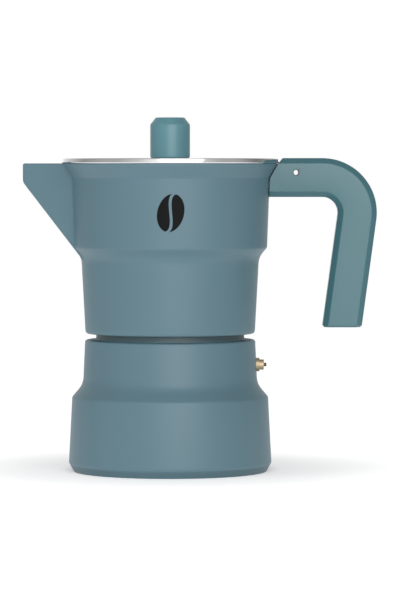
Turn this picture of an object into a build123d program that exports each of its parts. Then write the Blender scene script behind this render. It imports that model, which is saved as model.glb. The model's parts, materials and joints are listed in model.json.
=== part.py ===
"""Stovetop moka pot: boiler, funnel, screw-on collector, hinged lid, side handle and safety valve.

Millimetres, +Z up. The origin is on the pot's axis, on the face that the boiler stands on.
The handle and the lid hinge are on +X, the spout is on -X.
"""

import os
from math import cos, pi, radians, sin, tan

from build123d import *

os.makedirs("parts", exist_ok=True)

# ---------------------------------------------------------------- driving dimensions: boiler
FOOT_R = 43.6              # flat face that the pot stands on
FOOT_CHAMFER_H = 4.1
BELLY_LOW_R = 45.88
BELLY_TOP_R = 44.36
BELLY_TOP_Z = 33.8         # crease above the belly
BOILER_SLOPE_R = 41.2      # foot of the slope that narrows to the waist
BOILER_SLOPE_H = 3.7
WAIST_R = 39.25
WAIST_H = 5.4
SHOULDER_R = 38.5
SHOULDER_Z = 59.65
SHOULDER_ROUND = 1.0
BOILER_WALL = 3.2
BOILER_FLOOR = 4.0
NECK_R = 33.5              # root of the male thread
NECK_WALL = 4.0
NECK_H = 12.35
BASE_GROOVE_R = 35.0
BASE_GROOVE_W = 1.2
BASE_GROOVE_DEPTH = 0.5

# ---------------------------------------------------------------- driving dimensions: screw thread
THREAD_PITCH = 3.0
THREAD_TURNS = 2.0
THREAD_DEPTH = 1.4
THREAD_ROOT_W = 1.7
THREAD_CREST_W = 0.6
THREAD_GAP = 0.4           # radial gap from each crest to the other part's root
THREAD_START_H = 4.9       # first turn's middle, above the shoulder
THREAD_SINK = 0.3          # how deep a ridge is rooted in its wall

# ---------------------------------------------------------------- driving dimensions: collector
BODY_GAP = 2.85            # neck that shows between the two painted bodies
SKIRT_R = 38.34
SKIRT_ROUND = 1.0
COLLECTOR_WAIST_R = 39.85
COLLECTOR_WAIST_H = 32.0   # heights are from the skirt's lower face
COLLECTOR_ARC_R = 41.33
COLLECTOR_ARC_H = 35.78
COLLECTOR_CREASE_R = 43.86
COLLECTOR_CREASE_H = 38.8
FLARE_R = 45.0
FLARE_H = 70.2
RIM_R = 48.8
RIM_H = 76.8
RIM_ROUND = 0.7
COLLECTOR_WALL = 2.9
COLLECTOR_FLOOR = 2.2      # over the crown of the cavity below
BOWL_ROUND = 3.0
CAVITY_RISE = 2.4

# ---------------------------------------------------------------- driving dimensions: spout
SPOUT_REACH = 17.7         # tip, past the rim
SPOUT_TIP_H = 9.0
SPOUT_TIP_HALF_W = 1.4
SPOUT_PLAN_ANGLE = 20.0    # each side, from the pouring direction
SPOUT_KEEL_ANGLE = 37.7    # underside, from the vertical
SPOUT_WALL = 2.0
SPOUT_ROUND = 1.0

# ---------------------------------------------------------------- driving dimensions: inner works
FLANGE_INSET = 0.5         # inside the neck's outer wall
SHEET = 0.9                # funnel's wall
BASKET_GAP = 4.4           # basket to the neck's bore
BASKET_DEPTH = 20.0
TUBE_R = 4.6               # outside
TUBE_FLOOR_GAP = 4.0       # tube end to boiler floor
FUNNEL_CONE_H = 8.0
GASKET_INSET = 0.5         # inside the flange's edge
GASKET_W = 6.75
GASKET_T = 3.5
GASKET_SIDE_GAP = 0.15
PLATE_INSET = 3.3          # inside the gasket's edge
PLATE_SEAT_W = 2.2         # plate's margin that the collector holds
PLATE_T = 0.5
STRAINER_T = 0.5
STRAINER_GAP = 0.1
HOLE_R = 0.8
HOLE_RING_STEP = 4.4       # spacing of the rings of holes
HOLES_PER_RING = 6         # first ring; each ring has as many more
COLUMN_BASE_R = 9.0
COLUMN_TOP_R = 6.2
COLUMN_H = 46.0
COLUMN_BORE_R = 3.6
COLUMN_SPIGOT_R = 5.5
COLUMN_CAP_T = 2.4
COLUMN_PORT_W = 4.4
COLUMN_PORT_H = 9.0

# ---------------------------------------------------------------- driving dimensions: lid and knob
LID_R = 48.9
LID_T = 2.35
LID_EDGE_ROUND = 0.5
LID_PLATE_T = 1.35
LID_LIP_H = 1.2
LID_LIP_T = 1.6
LID_LIP_GAP = 0.8
KNOB_R = 9.0
KNOB_H = 18.35
KNOB_CHAMFER_W = 2.5
KNOB_CHAMFER_H = 3.2
KNOB_FOOT_ROUND = 0.8
INSERT_R = 4.0
INSERT_H = 9.0
SCREW_R = 2.0              # knob and handle screws
SCREW_GAP = 0.02
KNOB_SCREW_HEAD_R = 3.8
KNOB_SCREW_HEAD_H = 2.2
KNOB_WASHER_R = 4.6
KNOB_WASHER_T = 0.6
KNOB_SCREW_LENGTH = 9.5

# ---------------------------------------------------------------- driving dimensions: hinge
PIN_REACH = 8.0            # pin's axis, past the rim
PIN_DROP = 4.1             # pin's axis, below the rim
PIN_R = 1.5
PIN_BORE_R = 1.15
PIN_RECESS = 0.2           # each end, inside the handle's cheek
LEAF_T = 1.2
LEAF_W = 6.4
LEAF_SIDE_GAP = 0.3
LEAF_RUNNING_GAP = 0.05
LEAF_PAD_START_X = 28.0
LEAF_PAD_END_X = 40.6
LEAF_STEP_END_X = 42.4
LEAF_CLEARANCE = 0.1       # under the lid's seat
RIVET_R = 1.1
RIVET_HEAD_R = 2.0
RIVET_HEAD_H = 0.7
RIVET_XS = (31.5, 37.0)

# ---------------------------------------------------------------- driving dimensions: handle
HANDLE_T = 14.0            # along Y
HANDLE_BAR = 17.55         # in its own plane
HANDLE_TOP_RISE = 0.05     # above the lid
HANDLE_FRONT_GAP = 2.0     # top corner, past the lid's edge
HANDLE_WALL_GAP = 0.2
HANDLE_FRONT_ROUND = 0.3
HANDLE_BEND_REACH = 19.87  # bend's centre, past the lid's edge
HANDLE_BEND_R = 24.6
HANDLE_LEAN = 7.7          # grip, degrees from the vertical
HANDLE_END_Z = 65.4
HANDLE_BEVEL = 2.4
HANDLE_END_ROUND = 0.8
SLOT_REAR = 5.9            # behind the pin's axis
LUG_DROP = 7.5             # its top, below the rim
LUG_H = 3.7
LUG_W = 8.8
LUG_REACH = 12.2           # past the rim
LUG_GAP = 0.2
HANDLE_SCREW_REACH = 8.0   # past the rim
HANDLE_SCREW_HEAD_R = 3.5
HANDLE_SCREW_HEAD_H = 1.5
HANDLE_WASHER_R = 3.6
HANDLE_WASHER_T = 0.4
HANDLE_SCREW_PASS_R = 2.2
DRIVE_W = 0.9              # cross recess
DRIVE_L = 4.0

# ---------------------------------------------------------------- driving dimensions: safety valve
VALVE_Z = 48.3
VALVE_COLLAR_R = 3.075
VALVE_COLLAR_T = 1.65
VALVE_SNOUT_R = 2.35
VALVE_SNOUT_T = 2.0
VALVE_SHANK_R = 2.5
VALVE_BORE_R = 1.7
VALVE_END_WALL = 0.9
VALVE_OUTER_SEAT_SINK = 0.25
VALVE_INNER_SEAT_SINK = 0.35
VALVE_SEAT_CLEARANCE = 0.25
STEM_R = 0.8
STEM_RUNNING_GAP = 0.05
STEM_PROUD = 1.2
STEM_DISC_R = 1.5
STEM_DISC_T = 0.8
VALVE_RING_T = 1.0
VALVE_PASSAGE_R = 0.7
SEAL_WASHER_R = 4.5
SEAL_WASHER_T = 1.0
NUT_FLATS = 8.0
NUT_T = 2.5
SHANK_PROUD = 0.5          # past the nut
SPRING_WIRE_R = 0.2
SPRING_MEAN_R = 1.25
SPRING_TURNS = 7

# ---------------------------------------------------------------- heights and places that follow
boiler_rim_z = SHOULDER_Z + NECK_H
skirt_z = SHOULDER_Z + BODY_GAP
rim_z = skirt_z + RIM_H
flange_top_z = boiler_rim_z + SHEET
land_z = flange_top_z + GASKET_T
bowl_z = land_z + CAVITY_RISE + COLLECTOR_FLOOR
lid_top_z = rim_z + LID_T
lid_plate_z = lid_top_z - LID_PLATE_T
neck_bore_r = NECK_R - NECK_WALL
basket_r = neck_bore_r - BASKET_GAP - SHEET
flange_r = NECK_R - FLANGE_INSET
gasket_r = flange_r - GASKET_INSET
gasket_bore_r = gasket_r - GASKET_W
plate_r = gasket_r - PLATE_INSET
cavity_r = plate_r - PLATE_SEAT_W
thread_crest_r = NECK_R + THREAD_DEPTH
skirt_bore_r = thread_crest_r + THREAD_GAP
pin_x = RIM_R + PIN_REACH
pin_z = rim_z - PIN_DROP
handle_top_z = lid_top_z + HANDLE_TOP_RISE
bend_x = LID_R + HANDLE_BEND_REACH
bend_z = handle_top_z - HANDLE_BEND_R
lug_top_z = rim_z - LUG_DROP
lug_low_z = lug_top_z - LUG_H
slot_half_w = LEAF_W / 2 + LEAF_SIDE_GAP


def keep(part, name):
    """Label a finished piece and write it."""
    part.label = name
    export_step(part, f"parts/{name}.step")


def between(z, low, high):
    """Radius at height z on the straight side from low to high, each (radius, height)."""
    return low[0] + (high[0] - low[0]) * (z - low[1]) / (high[1] - low[1])


def collector_r(z):
    """Outer radius of the collector's upper wall and flare at height z."""
    crease = (COLLECTOR_CREASE_R, skirt_z + COLLECTOR_CREASE_H)
    flare = (FLARE_R, skirt_z + FLARE_H)
    if z <= flare[1]:
        return between(z, crease, flare)
    return between(z, flare, (RIM_R, rim_z))


def ring_holes(outer_r):
    """Centres of rings of holes that stay inside outer_r."""
    rings = int(outer_r // HOLE_RING_STEP)
    centres = [(0, 0)]
    for ring in range(1, rings + 1):
        count = HOLES_PER_RING * ring
        for step in range(count):
            turn = 2 * pi * step / count
            centres.append((ring * HOLE_RING_STEP * cos(turn), ring * HOLE_RING_STEP * sin(turn)))
    return centres


def thread_ridge(wall_r, depth, middle_z, outward):
    """One helical ridge on a wall, standing outward or inward, in two turns of a trapezium."""
    way = 1 if outward else -1
    root_x = wall_r - way * THREAD_SINK
    crest_x = wall_r + way * depth
    with BuildPart() as ridge:
        with BuildLine() as path:
            Helix(THREAD_PITCH, THREAD_PITCH * THREAD_TURNS, wall_r, center=(0, 0, middle_z))
        with BuildSketch(Plane.XZ):
            with BuildLine():
                Polyline(
                    (root_x, middle_z - THREAD_ROOT_W / 2),
                    (crest_x, middle_z - THREAD_CREST_W / 2),
                    (crest_x, middle_z + THREAD_CREST_W / 2),
                    (root_x, middle_z + THREAD_ROOT_W / 2),
                    close=True,
                )
            make_face()
        sweep(path=path.line, is_frenet=True)
    return ridge.part


# ---------------------------------------------------------------- boiler
slope_z = BELLY_TOP_Z + BOILER_SLOPE_H
waist_z = slope_z + WAIST_H
slope_run = (BOILER_SLOPE_R - BELLY_TOP_R, BOILER_SLOPE_H)
inner_shoulder_z = SHOULDER_Z - BOILER_WALL
boiler_thread_z = SHOULDER_Z + THREAD_START_H
valve_wall_r = between(VALVE_Z, (WAIST_R, waist_z), (SHOULDER_R, SHOULDER_Z))
valve_face_x = valve_wall_r - VALVE_OUTER_SEAT_SINK
valve_inner_x = valve_wall_r - BOILER_WALL + VALVE_INNER_SEAT_SINK

with BuildPart() as boiler:
    with BuildSketch(Plane.XZ) as boiler_outside:
        with BuildLine():
            Polyline((0, 0), (FOOT_R, 0), (BELLY_LOW_R, FOOT_CHAMFER_H), (BELLY_TOP_R, BELLY_TOP_Z),
                     (BOILER_SLOPE_R, slope_z))
            TangentArc((BOILER_SLOPE_R, slope_z), (WAIST_R, waist_z), tangent=slope_run)
            Polyline((WAIST_R, waist_z), (SHOULDER_R, SHOULDER_Z), (NECK_R, SHOULDER_Z),
                     (NECK_R, boiler_rim_z), (0, boiler_rim_z), (0, 0))
        make_face()
        shoulder_corner = boiler_outside.vertices().sort_by_distance((SHOULDER_R, SHOULDER_Z, 0))[0]
        fillet(shoulder_corner, SHOULDER_ROUND)
    revolve(axis=Axis.Z)
    with BuildSketch(Plane.XZ) as boiler_inside:
        with BuildLine():
            Polyline(
                (0, BOILER_FLOOR),
                (BELLY_LOW_R - BOILER_WALL, BOILER_FLOOR),
                (BELLY_TOP_R - BOILER_WALL, BELLY_TOP_Z - BOILER_WALL / 2),
                (WAIST_R - BOILER_WALL, waist_z - BOILER_WALL / 2),
                (SHOULDER_R - BOILER_WALL, inner_shoulder_z),
                (neck_bore_r, inner_shoulder_z),
                (neck_bore_r, boiler_rim_z),
                (0, boiler_rim_z),
                close=True,
            )
        make_face()
        floor_corner = boiler_inside.vertices().sort_by_distance((BELLY_LOW_R, BOILER_FLOOR, 0))[0]
        fillet(floor_corner, BOILER_WALL)
    revolve(axis=Axis.Z, mode=Mode.SUBTRACT)
    with BuildSketch(Plane.XY):
        Circle(BASE_GROOVE_R + BASE_GROOVE_W / 2)
        Circle(BASE_GROOVE_R - BASE_GROOVE_W / 2, mode=Mode.SUBTRACT)
    extrude(amount=BASE_GROOVE_DEPTH, mode=Mode.SUBTRACT)
    add(thread_ridge(NECK_R, THREAD_DEPTH, boiler_thread_z, outward=True))
    with BuildSketch(Plane.YZ.offset(valve_wall_r - BOILER_WALL * 2)):
        with Locations((0, VALVE_Z)):
            Circle(VALVE_SHANK_R + STEM_RUNNING_GAP)
    extrude(amount=BOILER_WALL * 3, mode=Mode.SUBTRACT)
    with BuildSketch(Plane.YZ.offset(valve_face_x)):
        with Locations((0, VALVE_Z)):
            Circle(VALVE_COLLAR_R + VALVE_SEAT_CLEARANCE)
    extrude(amount=BOILER_WALL, mode=Mode.SUBTRACT)
    with BuildSketch(Plane.YZ.offset(valve_inner_x)):
        with Locations((0, VALVE_Z)):
            Circle(SEAL_WASHER_R + VALVE_SEAT_CLEARANCE)
    extrude(amount=-BOILER_WALL, mode=Mode.SUBTRACT)
keep(boiler.part, "boiler")

# ---------------------------------------------------------------- funnel and its strainer
basket_low_z = flange_top_z - BASKET_DEPTH
basket_floor_z = basket_low_z + SHEET
cone_low_z = basket_low_z - FUNNEL_CONE_H
tube_end_z = BOILER_FLOOR + TUBE_FLOOR_GAP
strainer_ledge_r = basket_r - 1.6

with BuildPart() as funnel:
    with BuildSketch(Plane.XZ):
        with BuildLine():
            Polyline(
                (TUBE_R - SHEET, tube_end_z),
                (TUBE_R, tube_end_z),
                (TUBE_R, cone_low_z),
                (basket_r + SHEET, basket_low_z),
                (basket_r + SHEET, boiler_rim_z),
                (flange_r, boiler_rim_z),
                (flange_r, flange_top_z),
                (basket_r, flange_top_z),
                (basket_r, basket_floor_z),
                (strainer_ledge_r, basket_floor_z),
                (TUBE_R - SHEET, cone_low_z + SHEET),
                close=True,
            )
        make_face()
    revolve(axis=Axis.Z)
keep(funnel.part, "funnel")

with BuildPart() as funnel_strainer:
    with BuildSketch(Plane.XY.offset(basket_floor_z)):
        Circle(basket_r - STRAINER_GAP)
        with Locations(*ring_holes(strainer_ledge_r - HOLE_R)):
            Circle(HOLE_R, mode=Mode.SUBTRACT)
    extrude(amount=STRAINER_T)
keep(funnel_strainer.part, "funnel_strainer")

# ---------------------------------------------------------------- gasket and filter plate
with BuildPart() as gasket:
    with BuildSketch(Plane.XZ):
        with BuildLine():
            Polyline(
                (gasket_bore_r, flange_top_z),
                (gasket_r, flange_top_z),
                (gasket_r, land_z),
                (plate_r, land_z),
                (plate_r, land_z - PLATE_T),
                (gasket_bore_r, land_z - PLATE_T),
                close=True,
            )
        make_face()
    revolve(axis=Axis.Z)
keep(gasket.part, "gasket")

with BuildPart() as filter_plate:
    with BuildSketch(Plane.XY.offset(land_z - PLATE_T)):
        Circle(plate_r)
        with Locations(*ring_holes(gasket_bore_r - 2 * HOLE_R)):
            Circle(HOLE_R, mode=Mode.SUBTRACT)
    extrude(amount=PLATE_T)
keep(filter_plate.part, "filter_plate")

# ---------------------------------------------------------------- collector
waist_up_z = skirt_z + COLLECTOR_WAIST_H
arc_up_z = skirt_z + COLLECTOR_ARC_H
crease_up_z = skirt_z + COLLECTOR_CREASE_H
flare_z = skirt_z + FLARE_H
taper_run = (COLLECTOR_WAIST_R - SKIRT_R, COLLECTOR_WAIST_H)
bowl_low_r = between(bowl_z, (SKIRT_R, skirt_z), (COLLECTOR_WAIST_R, waist_up_z)) - COLLECTOR_WALL
recess_r = gasket_r + GASKET_SIDE_GAP
recess_low_z = flange_top_z + THREAD_GAP
collector_thread_z = boiler_thread_z - THREAD_PITCH / 2
tip_x = -(RIM_R + SPOUT_REACH)
tip_low_z = rim_z - SPOUT_TIP_H
plan_slope = tan(radians(SPOUT_PLAN_ANGLE))
keel_slope = 1 / tan(radians(SPOUT_KEEL_ANGLE))
root_x = -(cavity_r + COLLECTOR_WALL)
root_run = root_x - tip_x
channel_side = SPOUT_WALL / cos(radians(SPOUT_PLAN_ANGLE))
channel_floor = SPOUT_WALL / sin(radians(SPOUT_KEEL_ANGLE))
channel_x = tip_x + SPOUT_WALL
channel_tip_z = tip_low_z - SPOUT_WALL * keel_slope + channel_floor
channel_run = root_x - channel_x
above_rim_z = rim_z + LID_T

with BuildPart() as spout:
    with BuildSketch(Plane.XZ):
        with BuildLine():
            Polyline(
                (tip_x, rim_z),
                (tip_x, tip_low_z),
                (root_x, tip_low_z - root_run * keel_slope),
                (root_x, rim_z),
                close=True,
            )
        make_face()
    extrude(amount=RIM_R, both=True)
    with BuildSketch(Plane.XY.offset(skirt_z)):
        with BuildLine():
            Polyline(
                (tip_x, -SPOUT_TIP_HALF_W),
                (root_x, -SPOUT_TIP_HALF_W - root_run * plan_slope),
                (root_x, SPOUT_TIP_HALF_W + root_run * plan_slope),
                (tip_x, SPOUT_TIP_HALF_W),
                close=True,
            )
        make_face()
    extrude(amount=RIM_H + LID_T, mode=Mode.INTERSECT)
    tip_face = spout.faces().sort_by(Axis.X)[0]
    keel_face = [face for face in spout.faces() if face.normal_at().Z < -0.1][0]
    fillet(set(keel_face.edges() + tip_face.edges().filter_by(Axis.Z)) - {
        keel_face.edges().sort_by(Axis.X)[-1]}, SPOUT_ROUND)

with BuildPart() as upper_chamber:
    with BuildSketch(Plane.XZ) as chamber_outside:
        with BuildLine():
            Polyline((COLLECTOR_WAIST_R, waist_up_z), (SKIRT_R, skirt_z), (0, skirt_z), (0, rim_z),
                     (RIM_R, rim_z), (FLARE_R, flare_z), (COLLECTOR_CREASE_R, crease_up_z),
                     (COLLECTOR_ARC_R, arc_up_z))
            TangentArc((COLLECTOR_WAIST_R, waist_up_z), (COLLECTOR_ARC_R, arc_up_z), tangent=taper_run)
        make_face()
        skirt_corner = chamber_outside.vertices().sort_by_distance((SKIRT_R, skirt_z, 0))[0]
        fillet(skirt_corner, SKIRT_ROUND)
        rim_corner = chamber_outside.vertices().sort_by_distance((RIM_R, rim_z, 0))[0]
        fillet(rim_corner, RIM_ROUND)
    revolve(axis=Axis.Z)
    add(spout.part)
    with BuildSketch(Plane.XY.offset(lug_low_z)):
        with Locations(((cavity_r + RIM_R + LUG_REACH) / 2, 0)):
            RectangleRounded(RIM_R + LUG_REACH - cavity_r, LUG_W, LUG_GAP * 5)
    extrude(amount=LUG_H)
    with BuildSketch(Plane.XZ) as bowl:
        with BuildLine():
            Polyline(
                (0, bowl_z),
                (bowl_low_r, bowl_z),
                (COLLECTOR_WAIST_R - COLLECTOR_WALL, waist_up_z + COLLECTOR_WALL / 4),
                (COLLECTOR_CREASE_R - COLLECTOR_WALL, crease_up_z + COLLECTOR_WALL / 3),
                (FLARE_R - COLLECTOR_WALL, flare_z),
                (RIM_R - COLLECTOR_WALL, rim_z),
                (0, rim_z),
                close=True,
            )
        make_face()
        bowl_corner = bowl.vertices().sort_by_distance((bowl_low_r, bowl_z, 0))[0]
        fillet(bowl_corner, BOWL_ROUND)
    revolve(axis=Axis.Z, mode=Mode.SUBTRACT)
    with BuildSketch(Plane.XZ):
        with BuildLine():
            Polyline(
                (channel_x, above_rim_z),
                (channel_x, channel_tip_z),
                (root_x, channel_tip_z - channel_run * keel_slope),
                (root_x, above_rim_z),
                close=True,
            )
        make_face()
    channel_side_view = extrude(amount=RIM_R, both=True, mode=Mode.PRIVATE)
    with BuildSketch(Plane.XY.offset(bowl_z)):
        with BuildLine():
            half_tip = SPOUT_TIP_HALF_W + SPOUT_WALL * plan_slope - channel_side
            Polyline(
                (channel_x, -max(half_tip, SCREW_GAP)),
                (root_x, -half_tip - channel_run * plan_slope),
                (root_x, half_tip + channel_run * plan_slope),
                (channel_x, max(half_tip, SCREW_GAP)),
                close=True,
            )
        make_face()
    channel_plan = extrude(amount=rim_z, mode=Mode.PRIVATE)
    add(channel_side_view & channel_plan, mode=Mode.SUBTRACT)
    with BuildSketch(Plane.XZ):
        with BuildLine():
            Polyline(
                (0, skirt_z),
                (skirt_bore_r, skirt_z),
                (skirt_bore_r, recess_low_z),
                (recess_r, recess_low_z),
                (recess_r, land_z),
                (cavity_r, land_z),
                (COLUMN_BASE_R, land_z + CAVITY_RISE),
                (0, land_z + CAVITY_RISE),
                close=True,
            )
        make_face()
    revolve(axis=Axis.Z, mode=Mode.SUBTRACT)
    with BuildSketch(Plane.XY.offset(land_z)):
        Circle(COLUMN_SPIGOT_R)
    extrude(amount=bowl_z - land_z, mode=Mode.SUBTRACT)
    with BuildSketch(Plane.XY.offset(rim_z - 2 * LEAF_T)):
        with Locations((RIM_R, 0)):
            Rectangle(4 * COLLECTOR_WALL, 2 * slot_half_w)
    extrude(amount=LID_T + 2 * LEAF_T, mode=Mode.SUBTRACT)
    with BuildSketch(Plane.XY.offset(lug_low_z)):
        with Locations((RIM_R + HANDLE_SCREW_REACH, 0)):
            Circle(SCREW_R)
    extrude(amount=LUG_H, mode=Mode.SUBTRACT)
    add(thread_ridge(skirt_bore_r, THREAD_DEPTH, collector_thread_z + THREAD_PITCH, outward=False))
keep(upper_chamber.part, "upper_chamber")

# ---------------------------------------------------------------- riser column
column_top_z = bowl_z + COLUMN_H
port_low_z = column_top_z - COLUMN_CAP_T - COLUMN_PORT_H

with BuildPart() as riser_column:
    with BuildSketch(Plane.XZ) as column_outside:
        with BuildLine():
            Polyline(
                (0, land_z + CAVITY_RISE),
                (COLUMN_SPIGOT_R, land_z + CAVITY_RISE),
                (COLUMN_SPIGOT_R, bowl_z),
                (COLUMN_BASE_R, bowl_z),
                (COLUMN_TOP_R, column_top_z),
                (0, column_top_z),
                close=True,
            )
        make_face()
        cap_corner = column_outside.vertices().sort_by_distance((COLUMN_TOP_R, column_top_z, 0))[0]
        fillet(cap_corner, COLUMN_CAP_T)
    revolve(axis=Axis.Z)
    with BuildSketch(Plane.XY.offset(land_z + CAVITY_RISE)):
        Circle(COLUMN_BORE_R)
    extrude(amount=column_top_z - COLUMN_CAP_T - land_z - CAVITY_RISE, mode=Mode.SUBTRACT)
    with BuildSketch(Plane.XZ):
        with Locations((0, port_low_z + COLUMN_PORT_H / 2)):
            RectangleRounded(COLUMN_PORT_W, COLUMN_PORT_H, COLUMN_PORT_W / 2 - SCREW_GAP)
    extrude(amount=COLUMN_BASE_R, both=True, mode=Mode.SUBTRACT)
keep(riser_column.part, "riser_column")

# ---------------------------------------------------------------- lid
lip_r = between(rim_z - LID_LIP_H, (FLARE_R, flare_z), (RIM_R, rim_z)) - COLLECTOR_WALL - LID_LIP_GAP
lip_bore_r = lip_r - LID_LIP_T
lid_hole_r = SCREW_R + 0.2

with BuildPart() as lid:
    with BuildSketch(Plane.XZ) as lid_section:
        with BuildLine():
            Polyline(
                (lid_hole_r, lid_plate_z),
                (lip_bore_r, lid_plate_z),
                (lip_bore_r, rim_z - LID_LIP_H),
                (lip_r, rim_z - LID_LIP_H),
                (lip_r, rim_z),
                (LID_R, rim_z),
                (LID_R, lid_top_z),
                (lid_hole_r, lid_top_z),
                close=True,
            )
        make_face()
        edge_corners = lid_section.vertices().sort_by(Axis.X)[-2:]
        fillet(edge_corners, LID_EDGE_ROUND)
    revolve(axis=Axis.Z)
    with BuildSketch(Plane.XY.offset(rim_z - LID_LIP_H)):
        with Locations(((lip_bore_r + lip_r) / 2, 0)):
            Rectangle(3 * LID_LIP_T, 2 * slot_half_w)
    extrude(amount=LID_LIP_H, mode=Mode.SUBTRACT)
    with BuildSketch(Plane.XY.offset(lid_plate_z)):
        with Locations(*[(x, 0) for x in RIVET_XS]):
            Circle(RIVET_R)
    extrude(amount=LID_PLATE_T / 2, mode=Mode.SUBTRACT)
keep(lid.part, "lid")

# ---------------------------------------------------------------- lid hinge
pad_top_z = lid_plate_z
run_top_z = rim_z - LEAF_CLEARANCE
eye_r = PIN_R + LEAF_RUNNING_GAP + LEAF_T
eye_top_z = pin_z + eye_r
bend_down_x = RIM_R + LEAF_CLEARANCE * 5

with BuildPart() as lid_hinge_leaf:
    with BuildSketch(Plane.XZ):
        with BuildLine():
            Polyline(
                (LEAF_PAD_START_X, pad_top_z),
                (LEAF_PAD_END_X, pad_top_z),
                (LEAF_STEP_END_X, run_top_z),
                (bend_down_x, run_top_z),
                (pin_x, eye_top_z),
                (pin_x, eye_top_z - LEAF_T),
                (bend_down_x - LEAF_CLEARANCE, run_top_z - LEAF_T),
                (LEAF_STEP_END_X - LEAF_CLEARANCE, run_top_z - LEAF_T),
                (LEAF_PAD_END_X - LEAF_CLEARANCE, pad_top_z - LEAF_T),
                (LEAF_PAD_START_X, pad_top_z - LEAF_T),
                close=True,
            )
        make_face()
        with Locations((pin_x, pin_z)):
            Circle(eye_r)
            Circle(PIN_R + LEAF_RUNNING_GAP, mode=Mode.SUBTRACT)
    extrude(amount=LEAF_W / 2, both=True)
    with BuildSketch(Plane.XY.offset(pad_top_z - LEAF_T)):
        with Locations(*[(x, 0) for x in RIVET_XS]):
            Circle(RIVET_R)
    extrude(amount=LEAF_T, mode=Mode.SUBTRACT)
keep(lid_hinge_leaf.part, "lid_hinge_leaf")

with BuildPart() as lid_hinge_rivets:
    with BuildSketch(Plane.XY.offset(pad_top_z - LEAF_T)):
        with Locations(*[(x, 0) for x in RIVET_XS]):
            Circle(RIVET_R)
    extrude(amount=LEAF_T + LID_PLATE_T / 2)
    with BuildSketch(Plane.XY.offset(pad_top_z - LEAF_T)):
        with Locations(*[(x, 0) for x in RIVET_XS]):
            Circle(RIVET_HEAD_R)
    extrude(amount=-RIVET_HEAD_H, taper=20)
keep(lid_hinge_rivets.part, "lid_hinge_rivets")

with BuildPart() as hinge_pin:
    with BuildSketch(Plane.XZ):
        with Locations((pin_x, pin_z)):
            Circle(PIN_R)
            Circle(PIN_BORE_R, mode=Mode.SUBTRACT)
    extrude(amount=HANDLE_T / 2 - PIN_RECESS, both=True)
keep(hinge_pin.part, "hinge_pin")

# ---------------------------------------------------------------- knob, insert, screw and washer
with BuildPart() as knob:
    with BuildSketch(Plane.XZ) as knob_section:
        with BuildLine():
            Polyline(
                (0, lid_top_z),
                (KNOB_R, lid_top_z),
                (KNOB_R, lid_top_z + KNOB_H - KNOB_CHAMFER_H),
                (KNOB_R - KNOB_CHAMFER_W, lid_top_z + KNOB_H),
                (0, lid_top_z + KNOB_H),
                close=True,
            )
        make_face()
        knob_corners = knob_section.vertices().sort_by(Axis.X)[-3:]
        fillet(knob_corners, KNOB_FOOT_ROUND)
    revolve(axis=Axis.Z)
    with BuildSketch(Plane.XY.offset(lid_top_z)):
        Circle(INSERT_R)
    extrude(amount=INSERT_H, mode=Mode.SUBTRACT)
keep(knob.part, "knob")

with BuildPart() as knob_insert:
    with BuildSketch(Plane.XY.offset(lid_top_z)):
        Circle(INSERT_R)
    extrude(amount=INSERT_H)
    with BuildSketch(Plane.XY.offset(lid_top_z)):
        Circle(SCREW_R)
    extrude(amount=INSERT_H - SCREW_R / 2, mode=Mode.SUBTRACT)
keep(knob_insert.part, "knob_insert")

knob_washer_z = lid_plate_z - KNOB_WASHER_T
with BuildPart() as knob_washer:
    with BuildSketch(Plane.XY.offset(knob_washer_z)):
        Circle(KNOB_WASHER_R)
        Circle(lid_hole_r, mode=Mode.SUBTRACT)
    extrude(amount=KNOB_WASHER_T)
keep(knob_washer.part, "knob_washer")


def screw(x, seat_z, head_r, head_h, length):
    """A cross-recess screw pointing up, its head's seat at seat_z."""
    with BuildPart() as body:
        with BuildSketch(Plane.XY.offset(seat_z)):
            with Locations((x, 0)):
                Circle(head_r)
        extrude(amount=-head_h)
        fillet(body.edges().group_by(Axis.Z)[0], head_h / 4)
        with BuildSketch(Plane.XY.offset(seat_z)):
            with Locations((x, 0)):
                Circle(SCREW_R - SCREW_GAP)
        extrude(amount=length)
        chamfer(body.edges().group_by(Axis.Z)[-1], SCREW_R / 5)
        with BuildSketch(Plane.XY.offset(seat_z - head_h)):
            with Locations((x, 0)):
                Rectangle(DRIVE_L, DRIVE_W)
                Rectangle(DRIVE_W, DRIVE_L)
        extrude(amount=head_h * 2 / 3, mode=Mode.SUBTRACT)
    return body.part


keep(screw(0, knob_washer_z, KNOB_SCREW_HEAD_R, KNOB_SCREW_HEAD_H, KNOB_SCREW_LENGTH), "knob_screw")

# ---------------------------------------------------------------- handle
bend_inner_r = HANDLE_BEND_R - HANDLE_BAR
arm_low_z = handle_top_z - HANDLE_BAR
front_x = LID_R + HANDLE_FRONT_GAP
notch_z = rim_z + HANDLE_TOP_RISE
lean = radians(HANDLE_LEAN)
across = (cos(lean), -sin(lean))
along = (-sin(lean), -cos(lean))
outer_start = (bend_x + HANDLE_BEND_R * across[0], bend_z + HANDLE_BEND_R * across[1])
inner_start = (bend_x + bend_inner_r * across[0], bend_z + bend_inner_r * across[1])
outer_run = (outer_start[1] - HANDLE_END_Z) / cos(lean)
inner_run = (inner_start[1] - HANDLE_END_Z) / cos(lean)
outer_end = (outer_start[0] + along[0] * outer_run, HANDLE_END_Z)
inner_end = (inner_start[0] + along[0] * inner_run, HANDLE_END_Z)
bend_turn = 90 + HANDLE_LEAN
washer_seat_z = arm_low_z + HANDLE_SCREW_HEAD_H + HANDLE_WASHER_T
handle_screw_x = RIM_R + HANDLE_SCREW_REACH

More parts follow.
